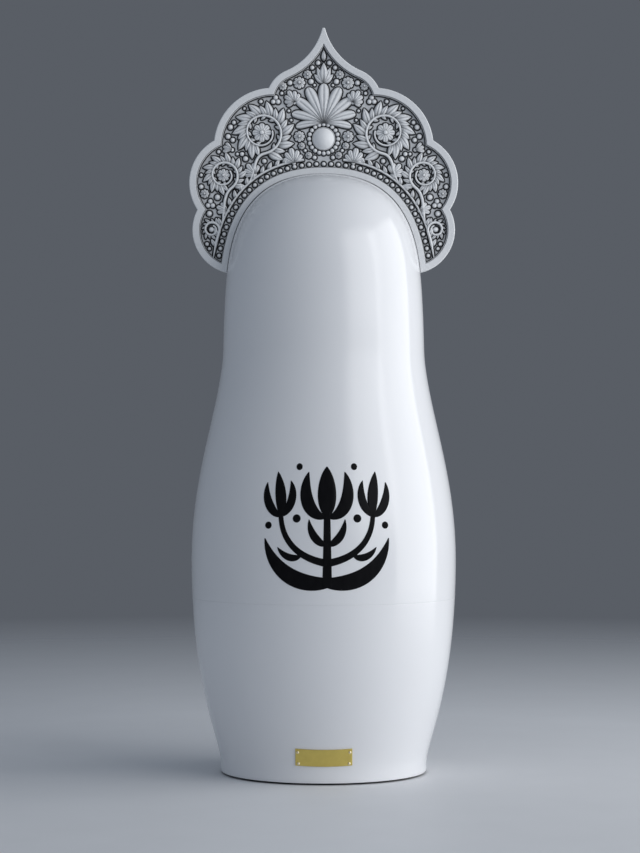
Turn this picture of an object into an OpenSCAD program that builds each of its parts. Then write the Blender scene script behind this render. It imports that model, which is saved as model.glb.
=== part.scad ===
// Nesting doll set: turned wooden dolls that open at a spigot joint and hold one another.
// The largest doll wears a carved headdress board and a small brass plate.
// Millimetres, +Z up, origin at the centre of the foot, the front faces -Y.

/* [Doll body] */
// Diameter of the foot
foot_d = 122.8; // [118:0.2:130]
// Height of the upright foot rim
foot_h = 9; // [6:0.5:12]
// Radius of the foot's lower edge
foot_edge_r = 1.5; // [0.5:0.1:3]
// Diameter at the widest part of the belly
belly_d = 158.4; // [152:0.2:170]
// Height of the widest part above the foot
belly_z = 128; // [120:0.5:138]
// Height from the widest part up to the neck
shoulder_h = 115; // [105:0.5:125]
// Diameter at the neck
neck_d = 122; // [118:0.2:126]
// Height of the bend at the neck
neck_bend_h = 7; // [5:0.5:12]
// Distance of the head's side inside the neck's
head_step = 0.7; // [0:0.1:2]
// Height of the head's side, from the neck bend to the dome
head_side_h = 48; // [40:0.5:60]
// Distance of the dome's lower edge inside the head's side
brow_step = 2.2; // [1:0.1:4]
// Height of the dome
dome_h = 60.3; // [52:0.1:70]

/* [Curve shape] */
// Length of the curve's pull above the foot, as a share of the belly's rise
foot_pull = 0.16; // [0.1:0.01:0.25]
// Length of the pull below the widest part, as a share of the belly's rise
belly_low_pull = 0.57; // [0.45:0.01:0.65]
// Length of the pull above the widest part, as a share of the shoulder's height
belly_high_pull = 0.41; // [0.3:0.01:0.5]
// Length of the pull below the neck, as a share of the shoulder's height
neck_pull = 0.28; // [0.2:0.01:0.36]
// Lean of the wall just above the foot, in degrees
foot_lean = 14.5; // [8:0.5:18]
// Lean of the wall coming into the neck, in degrees
neck_lean = 7.2; // [4:0.2:10]
// Lean of the head's side into the dome, in degrees
brow_lean = 5; // [2:0.5:9]
// Fullness of the dome's side, as a share of its height
dome_side_pull = 0.8; // [0.6:0.01:0.95]
// Fullness of the dome's top, as a share of its radius
dome_top_pull = 0.5; // [0.4:0.01:0.7]

/* [Walls and joints] */
// Size of each doll as a share of the one that holds it
nest_ratio = 0.8207; // [0.8:0.0001:0.835]
// Gap all round between a doll and the one that holds it, at the belly
nest_gap = 3.2; // [2.4:0.1:5]
// Gap under a doll that stands in another
stand_gap = 0.1; // [0.05:0.05:0.3]
// Room between a doll's head and the flat end of the hollow above it
head_room = 14; // [12:0.5:30]
// Thickness of the floor
floor_t = 10; // [7:0.5:14]
// Height of the parting line
part_z = 105; // [96:0.5:115]
// Height of the spigot above the parting line
spigot_h = 14; // [10:0.5:18]
// Radial clearance between spigot and socket
fit_gap = 0.15; // [0.1:0.05:0.3]
// Clearance above the spigot in its socket
end_gap = 0.4; // [0.2:0.1:0.8]

/* [Headdress board] */
// Thickness of the board
board_t = 10; // [8:0.5:14]
// Depth of the sunk field
field_depth = 3; // [2:0.1:4]
// Width of the flat border
border_w = 4.2; // [3:0.1:6]
// Width of the flat band along the head
arch_w = 3.9; // [3:0.1:5]
// Gap between the board and the head
seat_gap = 0.15; // [0.1:0.05:0.3]
// Radius of the low lobes
low_r = 25.8; // [24.5:0.1:28]
// Height of the low lobes' centres above the brow
low_rise = 26.6; // [25:0.1:28]
// Distance of the low lobes' centres inside the brow's radius
low_inset = 5.4; // [3:0.1:8]
// Radius of the middle lobes
middle_r = 28.9; // [27:0.1:31]
// Height of the middle lobes' centres above the brow
middle_rise = 54.8; // [52:0.1:58]
// Distance of the middle lobes' centres inside the brow's radius
middle_inset = 6.6; // [4:0.1:9]
// Radius of the high lobes
high_r = 35.4; // [33.5:0.1:37.5]
// Height of the high lobes' centres above the brow
high_rise = 76.2; // [73:0.1:79]
// Distance of the high lobes' centres from the middle
high_x = 30.3; // [28:0.1:32.5]
// Radius of the shoulders below the spire
shoulder_r = 20; // [18.5:0.1:21.5]
// Height of the shoulders' centres above the brow
shoulder_rise = 103.5; // [101:0.1:106]
// Distance of the shoulders' centres from the middle
shoulder_x = 14.5; // [13:0.1:16]
// Distance of the spire's hollow sides' centres from the middle
spire_x = 37.5; // [35.5:0.1:39]
// Height of the spire's tip above the brow
spire_rise = 147.5; // [142:0.1:153]
// Height of the hollow sides' centres above the tip
spire_centre_rise = 9.1; // [6:0.1:12]

/* [Headdress dowels] */
// Diameter of the dowels
dowel_d = 4; // [3:0.1:4.5]
// Distance of each dowel from the middle
dowel_x = 20; // [15:0.5:26]
// Length of dowel in the head
dowel_in_head = 6; // [4:0.5:7]
// Length of dowel in the board
dowel_in_board = 10; // [6:0.5:12]
// Radial clearance of a dowel in its hole
dowel_gap = 0.05; // [0.02:0.01:0.1]

/* [Carving] */
// Height of the leaves above the field
leaf_h = 2.6; // [1.6:0.1:3]
// Height of the leaves' upright edge
leaf_edge_h = 0.6; // [0.4:0.1:1]
// Width of a leaf as a share of its length
leaf_width_share = 0.5; // [0.35:0.01:0.55]
// Lean of a leaf along its scroll, in degrees from straight out
leaf_lean = 38; // [25:1:50]
// Width of the stems
stem_w = 2; // [1.2:0.1:2.6]
// Height of the stems above the field
stem_h = 2; // [1.4:0.1:2.4]
// Radius of the scrolls in the high lobes
high_scroll_r = 12.6; // [10:0.1:13.5]
// Radius of the scrolls in the middle lobes
middle_scroll_r = 9; // [7:0.1:9.8]
// Radius of the scrolls in the low lobes
low_scroll_r = 4.8; // [4:0.1:5.4]
// Length of the accent leaves
accent_len = 8; // [6:0.1:9]
// Diameter of the berries
berry_d = 3; // [2.4:0.1:3.6]
// Diameter of the beads along the arch
bead_d = 2.6; // [2:0.1:3.2]
// Distance from bead to bead along the arch
bead_pitch = 4.4; // [3.6:0.1:6]
// Height above the brow at which the beads begin
bead_start_rise = 8; // [7:0.5:11]
// Height above the brow at which the vine begins
vine_start_rise = 6.6; // [6:0.1:9]
// Gap between the beads and the band or the leaves
bead_margin = 0.7; // [0.4:0.1:1.2]
// Radius of the centre cabochon
cabochon_r = 7; // [5.5:0.1:8]
// Height of the cabochon's dome above the field
cabochon_h = 4; // [3:0.1:5]
// Height of the cabochon's centre above the head
cabochon_rise = 21; // [19:0.5:24]
// Number of beads around the cabochon
cabochon_beads_n = 20; // [14:1:22]
// Length of the palmette's middle leaf
palmette_len = 24; // [18:0.5:28]
// Number of leaves on each side of the palmette's middle leaf
palmette_side_leaves = 4; // [2:1:4]
// Angle between neighbouring leaves of the palmette
palmette_step = 21; // [17:0.5:23]
// Shortening from one palmette leaf to the next, as a share of the middle leaf
palmette_taper = 0.11; // [0.05:0.01:0.15]
// Gap between neighbouring carvings
carving_gap = 0.4; // [0.3:0.05:0.8]

/* [Brass plate] */
// Width of the plate along the curve of the foot
plate_w = 33; // [24:0.5:44]
// Height of the plate
plate_h = 10; // [8:0.5:14]
// Height of the plate's lower edge above the foot rim
plate_rise = 2; // [1:0.5:8]
// Thickness of the plate
plate_t = 0.6; // [0.4:0.1:1]
// Gap between the plate and the wood
plate_gap = 0.05; // [0.02:0.01:0.1]
// Diameter of the pins' heads
pin_head_d = 1.8; // [1.4:0.1:2.4]
// Height of the pins' heads
pin_head_h = 0.7; // [0.5:0.1:1]
// Diameter of the pins' shanks
pin_d = 1; // [0.8:0.1:1.2]
// Length of the pins' shanks below the head
pin_len = 5; // [3:0.5:6]
// Distance of the pins from the plate's edges
pin_inset = 1.7; // [1.4:0.1:3]
// Radial clearance of a pin in its hole
pin_gap = 0.03; // [0.02:0.01:0.06]

/* [Hidden] */

white_lacquer = "#f1f1ee";
bare_wood = "#d9b98a";
headdress_grey = "#c4c3bf";
brass = "#b58a3c";

$fn = 96;
small_fn = 24;
curve_steps = 10;
edge_steps = 4;
// Room that a cutting shape has past the face it cuts.
cut = 1;
doll_count = 7;

// Lean just above the neck, in degrees, and the pulls of the short curves there.
head_lean = 1;
bend_low_pull = 0.5;
bend_high_pull = 0.4;
head_low_pull = 0.35;
head_high_pull = 0.3;

foot_r = foot_d / 2;
belly_r = belly_d / 2;
neck_r = neck_d / 2;
head_r = neck_r - head_step;
brow_r = head_r - brow_step;
neck_z = belly_z + shoulder_h;
head_z = neck_z + neck_bend_h;
brow_z = head_z + head_side_h;
body_h = brow_z + dome_h;

// The wall at the belly takes what the nested doll and its gap leave.
wall = belly_r * (1 - nest_ratio) - nest_gap;
// The hollow's radius as a share of the outside's.
hollow_share = (belly_r - wall) / belly_r;
hollow_belly_z = floor_t + nest_ratio * belly_z;
hollow_stretch = (body_h - wall - hollow_belly_z) / (body_h - belly_z);
// The hollow ends flat above the nested doll's head.
hollow_top = floor_t + nest_ratio * body_h + head_room;

// Curves

function bezier(a, b, c, d, t) =
    pow(1 - t, 3) * a + 3 * t * pow(1 - t, 2) * b + 3 * t * t * (1 - t) * c + pow(t, 3) * d;

// Points of a curve after its first point.
function curve(a, b, c, d) = [for (i = [1 : curve_steps]) bezier(a, b, c, d, i / curve_steps)];

// A lean to the outside is positive, and a handle's length is a share of the curve's rise.
function up(lean, rise) = [rise * tan(lean), rise];

foot_edge = [
    for (i = [0 : edge_steps])
        let (a = 90 * i / edge_steps)
        [foot_r - foot_edge_r * (1 - sin(a)), foot_edge_r * (1 - cos(a))]
];

foot_top = [foot_r, foot_h];
belly = [belly_r, belly_z];
neck = [neck_r, neck_z];
head = [head_r, head_z];
brow = [brow_r, brow_z];
apex = [0, body_h];
belly_rise = belly_z - foot_h;

// The outside of the largest doll, from the foot's edge up to the top of the head.
lower_belly_curve = curve(
    foot_top, foot_top + up(foot_lean, belly_rise * foot_pull),
    belly - up(0, belly_rise * belly_low_pull), belly
);
upper_belly_curve = curve(
    belly, belly + up(0, shoulder_h * belly_high_pull),
    neck - up(-neck_lean, shoulder_h * neck_pull), neck
);
neck_curve = curve(
    neck, neck + up(-neck_lean, neck_bend_h * bend_low_pull),
    head - up(-head_lean, neck_bend_h * bend_high_pull), head
);
head_side_curve = curve(
    head, head + up(-head_lean, head_side_h * head_low_pull),
    brow - up(-brow_lean, head_side_h * head_high_pull), brow
);
dome_curve = curve(
    brow, brow + up(-brow_lean, dome_h * dome_side_pull),
    apex + [brow_r * dome_top_pull, 0], apex
);
outside = concat(
    foot_edge, [foot_top], lower_belly_curve, upper_belly_curve, neck_curve, head_side_curve, dome_curve
);
head_outside = concat([neck], neck_curve, head_side_curve, dome_curve);

// The hollow keeps the nested doll's shape below the belly and follows the outside above it.
function hollow_height(z) =
    z < belly_z ? floor_t + nest_ratio * z : hollow_belly_z + hollow_stretch * (z - belly_z);
hollow = [for (p = outside) [p[0] * hollow_share, hollow_height(p[1])]];

function radius_at(line, z) = lookup(z, [for (p = line) [p[1], p[0]]]);
function below(line, z) = concat([for (p = line) if (p[1] < z) p], [[radius_at(line, z), z]]);
function above(line, z) = concat([[radius_at(line, z), z]], [for (p = line) if (p[1] > z) p]);
function reversed(line) = [for (i = [len(line) - 1 : -1 : 0]) line[i]];

// A line moved out along its own normals; its last point stays on the axis.
function normal_at(line, i) =
    let (
        a = line[max(i - 1, 0)],
        b = line[min(i + 1, len(line) - 1)],
        d = (b - a) / norm(b - a)
    )
    i == len(line) - 1 ? [0, 1] : [d[1], -d[0]];
function moved_out(line, gap) = [for (i = [0 : len(line) - 1]) line[i] + gap * normal_at(line, i)];

// Dolls

function doll_scale(k) = pow(nest_ratio, k - 1);
// Height at which a doll stands inside the ones that hold it.
function seat_z(k) = k == 1 ? 0 : seat_z(k - 1) + floor_t * doll_scale(k - 1) + stand_gap;
function sized(line, k) = doll_scale(k) * line;

// The spigot's outside lies half way through the wall.
spigot_r = (radius_at(outside, part_z) + radius_at(hollow, part_z)) / 2;
spigot_top = part_z + spigot_h;

module lower_half(k) {
    spigot = [[spigot_r, part_z], [spigot_r, spigot_top]];
    translate([0, 0, seat_z(k)])
        rotate_extrude()
            polygon(sized(concat(
                [[0, 0]], below(outside, part_z), spigot, reversed(below(hollow, spigot_top)), [[0, floor_t]]
            ), k));
}

module upper_half(k) {
    // The clearances stay the same on every doll.
    socket_r = spigot_r + fit_gap / doll_scale(k);
    socket_top = spigot_top + end_gap / doll_scale(k);
    socket = [[socket_r, socket_top], [socket_r, part_z]];
    bore = below(above(hollow, socket_top), hollow_top);
    translate([0, 0, seat_z(k)])
        rotate_extrude()
            polygon(sized(concat(above(outside, part_z), [[0, hollow_top]], reversed(bore), socket), k));
}

module outer_lower_half() {
    color(white_lacquer)
        difference() {
            lower_half(1);
            at_plate_pins() pin_hole(pin_len + cut / 2);
        }
}

module outer_upper_half() {
    color(white_lacquer)
        difference() {
            upper_half(1);
            dowel_set(dowel_d + 2 * dowel_gap);
        }
}

module inner_lower_half(k) {
    color(white_lacquer) lower_half(k);
}

module inner_upper_half(k) {
    color(white_lacquer) upper_half(k);
}

module doll_7_solid() {
    color(white_lacquer)
        translate([0, 0, seat_z(doll_count)])
            rotate_extrude()
                polygon(sized(concat([[0, 0]], outside), doll_count));
}

// Headdress board

low_centre = [brow_r - low_inset, brow_z + low_rise];
middle_centre = [brow_r - middle_inset, brow_z + middle_rise];
high_centre = [high_x, brow_z + high_rise];
shoulder_centre = [shoulder_x, brow_z + shoulder_rise];
spire_tip_z = brow_z + spire_rise;
spire_centre = [spire_x, spire_tip_z + spire_centre_rise];
// The hollow sides run on smoothly from the shoulders.
spire_r = norm(spire_centre - shoulder_centre) - shoulder_r;

// Stands a shape drawn in X and Z on the board: its height runs to the front.
module on_board() {
    translate([0, board_t / 2, 0]) rotate([90, 0, 0]) children();
}

module both_sides() {
    children();
    mirror([1, 0, 0]) children();
}

module head_shape(gap) {
    side = moved_out(head_outside, gap);
    polygon(concat(side, [for (p = reversed(side)) [-p[0], p[1]]]));
}

// The spire between its two hollow sides, from where they meet the shoulders.
module spire(inset) {
    towards = (spire_centre - shoulder_centre) / norm(spire_centre - shoulder_centre);
    foot = shoulder_centre + (shoulder_r - inset) * towards;
    difference() {
        polygon([[0, shoulder_centre[1]], foot, [foot[0], spire_tip_z], [-foot[0], spire_tip_z],
            [-foot[0], foot[1]]]);
        both_sides() translate(spire_centre) circle(spire_r + inset);
    }
}

// The scalloped outline, less an inset all round and a band along the head.
module headdress_shape(inset, head_gap) {
    difference() {
        union() {
            both_sides() {
                translate(low_centre) circle(low_r - inset);
                translate(middle_centre) circle(middle_r - inset);
                translate(high_centre) circle(high_r - inset);
                translate(shoulder_centre) circle(shoulder_r - inset);
            }
            spire(inset);
            both_sides()
                polygon([[0, brow_z], low_centre, middle_centre, high_centre, shoulder_centre,
                    [0, shoulder_centre[1]]]);
        }
        head_shape(head_gap);
    }
}

module headdress_board() {
    color(headdress_grey)
        difference() {
            on_board()
                difference() {
                    linear_extrude(board_t) headdress_shape(0, seat_gap);
                    translate([0, 0, board_t - field_depth])
                        linear_extrude(field_depth + cut) headdress_shape(border_w, arch_w);
                }
            dowel_set(dowel_d + 2 * dowel_gap);
        }
}

// The dowels stand in the middle of the wood behind the sunk field.
dowel_y = field_depth / 2;
dowel_seat_z = lookup(dowel_x, [for (p = reversed(dome_curve)) [p[0], p[1]]]);

module dowel_set(d) {
    both_sides()
        translate([dowel_x, dowel_y, dowel_seat_z - dowel_in_head])
            cylinder(d = d, h = dowel_in_head + dowel_in_board);
}

module headdress_dowels() {
    color(bare_wood) dowel_set(dowel_d);
}

// Carving: a vine along the head with a scroll and rosette in each lobe, and a palmette in the spire

field_z = board_t - field_depth;
bead_strip = bead_d + 2 * bead_margin;
cabochon_z = body_h + cabochon_rise;
bead_ring_r = cabochon_r + bead_d / 2 + carving_gap;
bead_ring_edge = bead_ring_r + bead_d / 2 + carving_gap;

// The outer point where two circles cross, on the right of the line from the first to the second.
function crossing(a, ra, b, rb) =
    let (
        d = norm(b - a),
        along = (d * d + ra * ra - rb * rb) / (2 * d),
        off = sqrt(max(ra * ra - along * along, 0)),
        u = (b - a) / d
    )
    a + along * u + off * [u[1], -u[0]];

// The middle of the field, between lines that run from beside the cabochon out to the upper cusps.
module middle_zone(inset) {
    cusp = crossing(high_centre, high_r, shoulder_centre, shoulder_r);
    half = bead_ring_edge + bead_d - inset;
    both_sides()
        polygon([[0, brow_z], [half, brow_z], [half, cabochon_z + bead_ring_edge], [cusp[0] - inset, cusp[1]],
            [cusp[0] - inset, spire_tip_z], [0, spire_tip_z]]);
}

// Stands carvings on the field and trims them to the room between border and beads.
module carved() {
    on_board()
        translate([0, 0, field_z])
            intersection() {
                union() children(0);
                linear_extrude(board_t)
                    intersection() {
                        headdress_shape(border_w + carving_gap, arch_w + bead_strip);
                        children(1);
                    }
            }
}

// A pointed leaf along +X with a ridge down its middle.
module leaf(length) {
    half_w = length * leaf_width_share / 2;
    heel_x = length * 0.2;
    heel_half_w = half_w * 0.8;
    widest_x = length * 0.5;
    ridge_end_x = length * 0.7;
    ridge_w = stem_w / 8;
    hull() {
        linear_extrude(leaf_edge_h)
            polygon([[0, 0], [heel_x, -heel_half_w], [widest_x, -half_w], [length, 0], [widest_x, half_w],
                [heel_x, heel_half_w]]);
        translate([heel_x, -ridge_w / 2, 0]) cube([ridge_end_x - heel_x, ridge_w, leaf_h]);
    }
}

// A stem along a row of points: a rounded ridge on a flat base, swept as one closed shape.
module stem(points) {
    section = [for (a = [0 : 45 : 180]) [stem_w / 2 * cos(a), stem_h * sin(a)]];
    sides = len(section);
    last = len(points) - 1;
    function across(i) =
        let (d = points[min(i + 1, last)] - points[max(i - 1, 0)])
        [d[1], -d[0]] / norm(d);
    ring_points = [
        for (i = [0 : last], s = section)
            [points[i][0] + s[0] * across(i)[0], points[i][1] + s[0] * across(i)[1], s[1]]
    ];
    walls = [
        for (i = [0 : last - 1], j = [0 : sides - 1])
            let (a = i * sides + j, b = i * sides + (j + 1) % sides)
            each [[a, b, b + sides], [a, b + sides, a + sides]]
    ];
    ends = [[for (j = [sides - 1 : -1 : 0]) j], [for (j = [0 : sides - 1]) last * sides + j]];
    polyhedron(ring_points, concat(walls, ends));
}

// Three berries that touch.
module berries(point) {
    spread = berry_d * 0.56;
    facets = 10;
    for (a = [90, 210, 330])
        translate(point)
            rotate(a)
                translate([spread, 0, 0])
                    intersection() {
                        sphere(d = berry_d, $fn = facets);
                        cylinder(d = berry_d + cut, h = berry_d, $fn = facets);
                    }
}

// Round petals about a raised button, which covers the petals' heels.
module rosette(r) {
    petals = 6;
    facets = 8;
    petal_h = leaf_h * 0.8;
    heel_h = leaf_h * 0.4;
    for (i = [0 : petals - 1])
        rotate(360 * (i + 0.5) / petals)
            hull() {
                translate([r * 0.69, 0, 0]) cylinder(r1 = r * 0.31, r2 = r * 0.18, h = petal_h, $fn = facets);
                cylinder(r = r * 0.04, h = heel_h, $fn = 4);
            }
    cylinder(r1 = r * 0.38, r2 = r * 0.2, h = leaf_h + leaf_edge_h, $fn = facets);
}

// Three leaves from one point, the outer two shorter.
module trefoil(point, heading, length) {
    spread = 48;
    side_share = 0.8;
    for (side = [-1, 0, 1])
        translate(point)
            rotate(heading + side * spread) leaf(side == 0 ? length : length * side_share);
}

// A stem that winds in clockwise to a rosette, with leaves on its outside.
module scroll(centre, r, start, leaves) {
    eye_share = 0.5;
    leaf_share = 0.8;
    steps = 18;
    sweep = 450;
    leaf_sweep = 320;
    function scroll_angle(t) = start - sweep * t;
    function scroll_point(t) =
        centre + r * (1 - (1 - eye_share) * t) * [cos(scroll_angle(t)), sin(scroll_angle(t))];
    stem([for (i = [0 : steps]) scroll_point(i / steps)]);
    for (i = [0 : leaves - 1]) {
        t = (i + 0.5) / leaves * leaf_sweep / sweep;
        translate(scroll_point(t)) rotate(scroll_angle(t) - leaf_lean) leaf(r * leaf_share);
    }
    translate(centre) rosette(r * eye_share - stem_w / 3);
}

// The vine runs beside the beads, from the middle zone down to the foot of the low lobe.
module vine() {
    line = moved_out(head_outside, arch_w + bead_strip + stem_w / 2 + carving_gap / 2);
    stem([for (p = line) if (p[1] > brow_z + vine_start_rise) p]);
}

// Where each scroll lies from its lobe's centre, the direction at which it begins and its number of leaves.
high_scroll_offset = [6.7, 8.8];
high_scroll_start = 260;
high_scroll_leaves = 10;
middle_scroll_offset = [8.5, 4.7];
middle_scroll_start = 235;
middle_scroll_leaves = 9;
low_scroll_offset = [14.4, 0.4];
low_scroll_start = 200;
low_scroll_leaves = 7;

// The right-hand side, placed from the lobes' centres.
module side_carving() {
    vine();
    scroll(high_centre + high_scroll_offset, high_scroll_r, high_scroll_start, high_scroll_leaves);
    scroll(middle_centre + middle_scroll_offset, middle_scroll_r, middle_scroll_start, middle_scroll_leaves);
    scroll(low_centre + low_scroll_offset, low_scroll_r, low_scroll_start, low_scroll_leaves);
    trefoil(high_centre + [-12.5, -9.5], heading = 78, length = accent_len);
    trefoil(middle_centre + [-10.5, 5], heading = 52, length = accent_len);
    trefoil(low_centre + [4.6, 11.6], heading = 15, length = accent_len);
    trefoil(high_centre + [24.5, -1.5], heading = 15, length = accent_len * 0.75);
    berries(high_centre + [-1.5, 28.2]);
    berries(middle_centre + [16.4, -12.6]);
}

module right_carvings() {
    color(headdress_grey)
        carved() {
            side_carving();
            difference() {
                translate([0, brow_z - low_r]) square([2 * brow_r, spire_rise]);
                middle_zone(-carving_gap / 2);
            }
        }
}

module left_carvings() {
    mirror([1, 0, 0]) right_carvings();
}

// Leaves that open like a fan above the cabochon, and a bud above them in the spire.
module spire_palmette() {
    fan_base = [0, cabochon_z + bead_ring_edge - bead_d / 2];
    bud_base = fan_base + [0, palmette_len + carving_gap];
    bud_len = palmette_len * 0.5;
    bud_side_len = palmette_len * 0.32;
    color(headdress_grey)
        carved() {
            difference() {
                union() {
                    for (i = [-palmette_side_leaves : palmette_side_leaves])
                        translate(fan_base)
                            rotate(90 - palmette_step * i) leaf(palmette_len * (1 - palmette_taper * abs(i)));
                    translate(bud_base) rotate(90) leaf(bud_len);
                    both_sides() {
                        translate(bud_base) rotate(35) leaf(bud_side_len);
                        trefoil(shoulder_centre + [3, -0.5], heading = 62, length = accent_len);
                    }
                }
                translate([0, cabochon_z, -cut]) cylinder(r = bead_ring_edge, h = board_t);
            }
            middle_zone(carving_gap / 2);
        }
}

// A smooth dome, cut from one sphere.
module centre_cabochon() {
    dome_r = (cabochon_r * cabochon_r + cabochon_h * cabochon_h) / (2 * cabochon_h);
    color(headdress_grey)
        on_board()
            translate([0, cabochon_z, field_z])
                intersection() {
                    translate([0, 0, cabochon_h - dome_r]) sphere(dome_r);
                    cylinder(r = cabochon_r + cut, h = cabochon_h + cut);
                }
}

module bead() {
    intersection() {
        sphere(d = bead_d, $fn = small_fn);
        cylinder(d = bead_d + cut, h = bead_d, $fn = small_fn);
    }
}

module cabochon_beads() {
    color(headdress_grey)
        on_board()
            for (i = [0 : cabochon_beads_n - 1])
                translate([0, cabochon_z, field_z])
                    rotate(360 * i / cabochon_beads_n) translate([bead_ring_r, 0, 0]) bead();
}

// Distances along a line from its end on the axis, and the point at a distance.
function run_lengths(line, i = 0, sum = 0) =
    i >= len(line) - 1 ? [sum] : concat([sum], run_lengths(line, i + 1, sum + norm(line[i + 1] - line[i])));
function point_along(line, lengths, s) = [
    lookup(s, [for (i = [0 : len(line) - 1]) [lengths[i], line[i][0]]]),
    lookup(s, [for (i = [0 : len(line) - 1]) [lengths[i], line[i][1]]])
];

module arch_beads() {
    line = reversed(moved_out(head_outside, arch_w + bead_margin + bead_d / 2));
    lengths = run_lengths(line);
    lowest = brow_z + bead_start_rise;
    last = max([for (i = [0 : len(line) - 1]) if (line[i][1] > lowest) lengths[i]]);
    color(headdress_grey)
        on_board() {
            translate([line[0][0], line[0][1], field_z]) bead();
            both_sides()
                for (s = [bead_pitch : bead_pitch : last]) {
                    p = point_along(line, lengths, s);
                    translate([p[0], p[1], field_z]) bead();
                }
        }
}

// Brass plate

plate_z = foot_h + plate_rise;
plate_mid_r = radius_at(outside, plate_z + plate_h / 2);
plate_angle = plate_w / plate_mid_r * 180 / PI;
// Tilt of the wood behind the plate.
plate_tilt = atan((radius_at(outside, plate_z + plate_h) - radius_at(outside, plate_z)) / plate_h);

// Puts a shape on each pin's axis, with +Z out of the plate and the plate's face at 0.
module at_plate_pins() {
    for (side = [-1, 1], level = [pin_inset, plate_h - pin_inset]) {
        z = plate_z + level;
        turn = side * (plate_angle / 2 - pin_inset / plate_mid_r * 180 / PI);
        rotate(turn - 90)
            translate([radius_at(outside, z) + (plate_gap + plate_t) / cos(plate_tilt), 0, z])
                rotate([0, 90 + plate_tilt, 0]) children();
    }
}

module pin_hole(depth) {
    translate([0, 0, -depth]) cylinder(d = pin_d + 2 * pin_gap, h = depth + cut);
}

module brass_plate() {
    inner = moved_out(concat([[radius_at(outside, plate_z), plate_z]],
        [for (p = outside) if (p[1] > plate_z && p[1] < plate_z + plate_h) p],
        [[radius_at(outside, plate_z + plate_h), plate_z + plate_h],
            [radius_at(outside, plate_z + plate_h + cut), plate_z + plate_h + cut]]), plate_gap);
    back = [for (i = [0 : len(inner) - 2]) inner[i]];
    face = [for (p = back) p + [plate_t / cos(plate_tilt), 0]];
    color(brass)
        difference() {
            rotate(-90 - plate_angle / 2)
                rotate_extrude(angle = plate_angle)
                    polygon(concat(back, reversed(face)));
            at_plate_pins() pin_hole(pin_len);
        }
}

module plate_pins() {
    dome_r = (pow(pin_head_d / 2, 2) + pow(pin_head_h, 2)) / (2 * pin_head_h);
    color(brass)
        at_plate_pins() {
            translate([0, 0, pin_gap])
                intersection() {
                    translate([0, 0, pin_head_h - dome_r]) sphere(dome_r);
                    cylinder(d = pin_head_d + cut, h = pin_head_h + cut);
                }
            translate([0, 0, -pin_len]) cylinder(d = pin_d, h = pin_len + pin_gap);
        }
}

outer_lower_half();
outer_upper_half();
inner_lower_half(2);  // doll_2_lower_half
inner_upper_half(2);  // doll_2_upper_half
inner_lower_half(3);  // doll_3_lower_half
inner_upper_half(3);  // doll_3_upper_half
inner_lower_half(4);  // doll_4_lower_half
inner_upper_half(4);  // doll_4_upper_half
inner_lower_half(5);  // doll_5_lower_half
inner_upper_half(5);  // doll_5_upper_half
inner_lower_half(6);  // doll_6_lower_half
inner_upper_half(6);  // doll_6_upper_half
doll_7_solid();
headdress_board();
headdress_dowels();
spire_palmette();
centre_cabochon();
cabochon_beads();
left_carvings();
right_carvings();
arch_beads();
brass_plate();
plate_pins();
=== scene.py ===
"""Looks of a set of nesting dolls: lacquered shells, carved headdress, painted sprig and brass plate."""

import logging
import math
from dataclasses import dataclass, field
from enum import Enum
from typing import Any, Callable, Sequence

import bmesh
import bpy
import numpy as np
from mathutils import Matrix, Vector
from mathutils.kdtree import KDTree

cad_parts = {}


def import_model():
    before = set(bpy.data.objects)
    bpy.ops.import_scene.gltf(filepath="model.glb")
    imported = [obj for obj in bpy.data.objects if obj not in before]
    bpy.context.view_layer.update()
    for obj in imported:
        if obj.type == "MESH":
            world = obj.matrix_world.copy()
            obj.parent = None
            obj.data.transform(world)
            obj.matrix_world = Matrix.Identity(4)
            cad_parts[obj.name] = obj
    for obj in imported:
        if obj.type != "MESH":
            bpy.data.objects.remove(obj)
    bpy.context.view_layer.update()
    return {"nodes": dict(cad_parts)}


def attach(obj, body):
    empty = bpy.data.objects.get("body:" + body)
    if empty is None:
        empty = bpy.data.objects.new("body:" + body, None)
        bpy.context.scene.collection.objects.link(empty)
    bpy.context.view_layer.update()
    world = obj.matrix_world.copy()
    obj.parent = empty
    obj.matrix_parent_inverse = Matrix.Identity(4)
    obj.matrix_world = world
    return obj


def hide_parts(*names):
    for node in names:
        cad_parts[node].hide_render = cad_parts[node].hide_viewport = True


LOG = logging.getLogger("nesting_doll")
MM = 0.001
# Length of one band of the wave texture at a scale of 1, in metres
WAVE_LENGTH = 0.314

Colour = tuple[float, float, float]
Pair = tuple[float, float]
Place = tuple[float, float]
Point = tuple[float, float, float]
Curve = tuple[Place, Place, Place, Place]
Stops = tuple[Pair, ...]
Materials = dict[str, bpy.types.Material]
Lay = Callable[[np.ndarray], np.ndarray]


class Skin(Enum):
    """Places of the finishes in a turned shell's list, of which other pieces have the first only."""

    LACQUER = 0
    WOOD = 1
    BASE = 2


class Half(Enum):
    """The two halves of a doll that opens."""

    LOWER = "lower"
    UPPER = "upper"


class Side(Enum):
    """The two sides of the headdress, as signs of X."""

    LEFT = -1
    RIGHT = 1


Outline = list[tuple[np.ndarray, Skin]]


# Shader building


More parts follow.
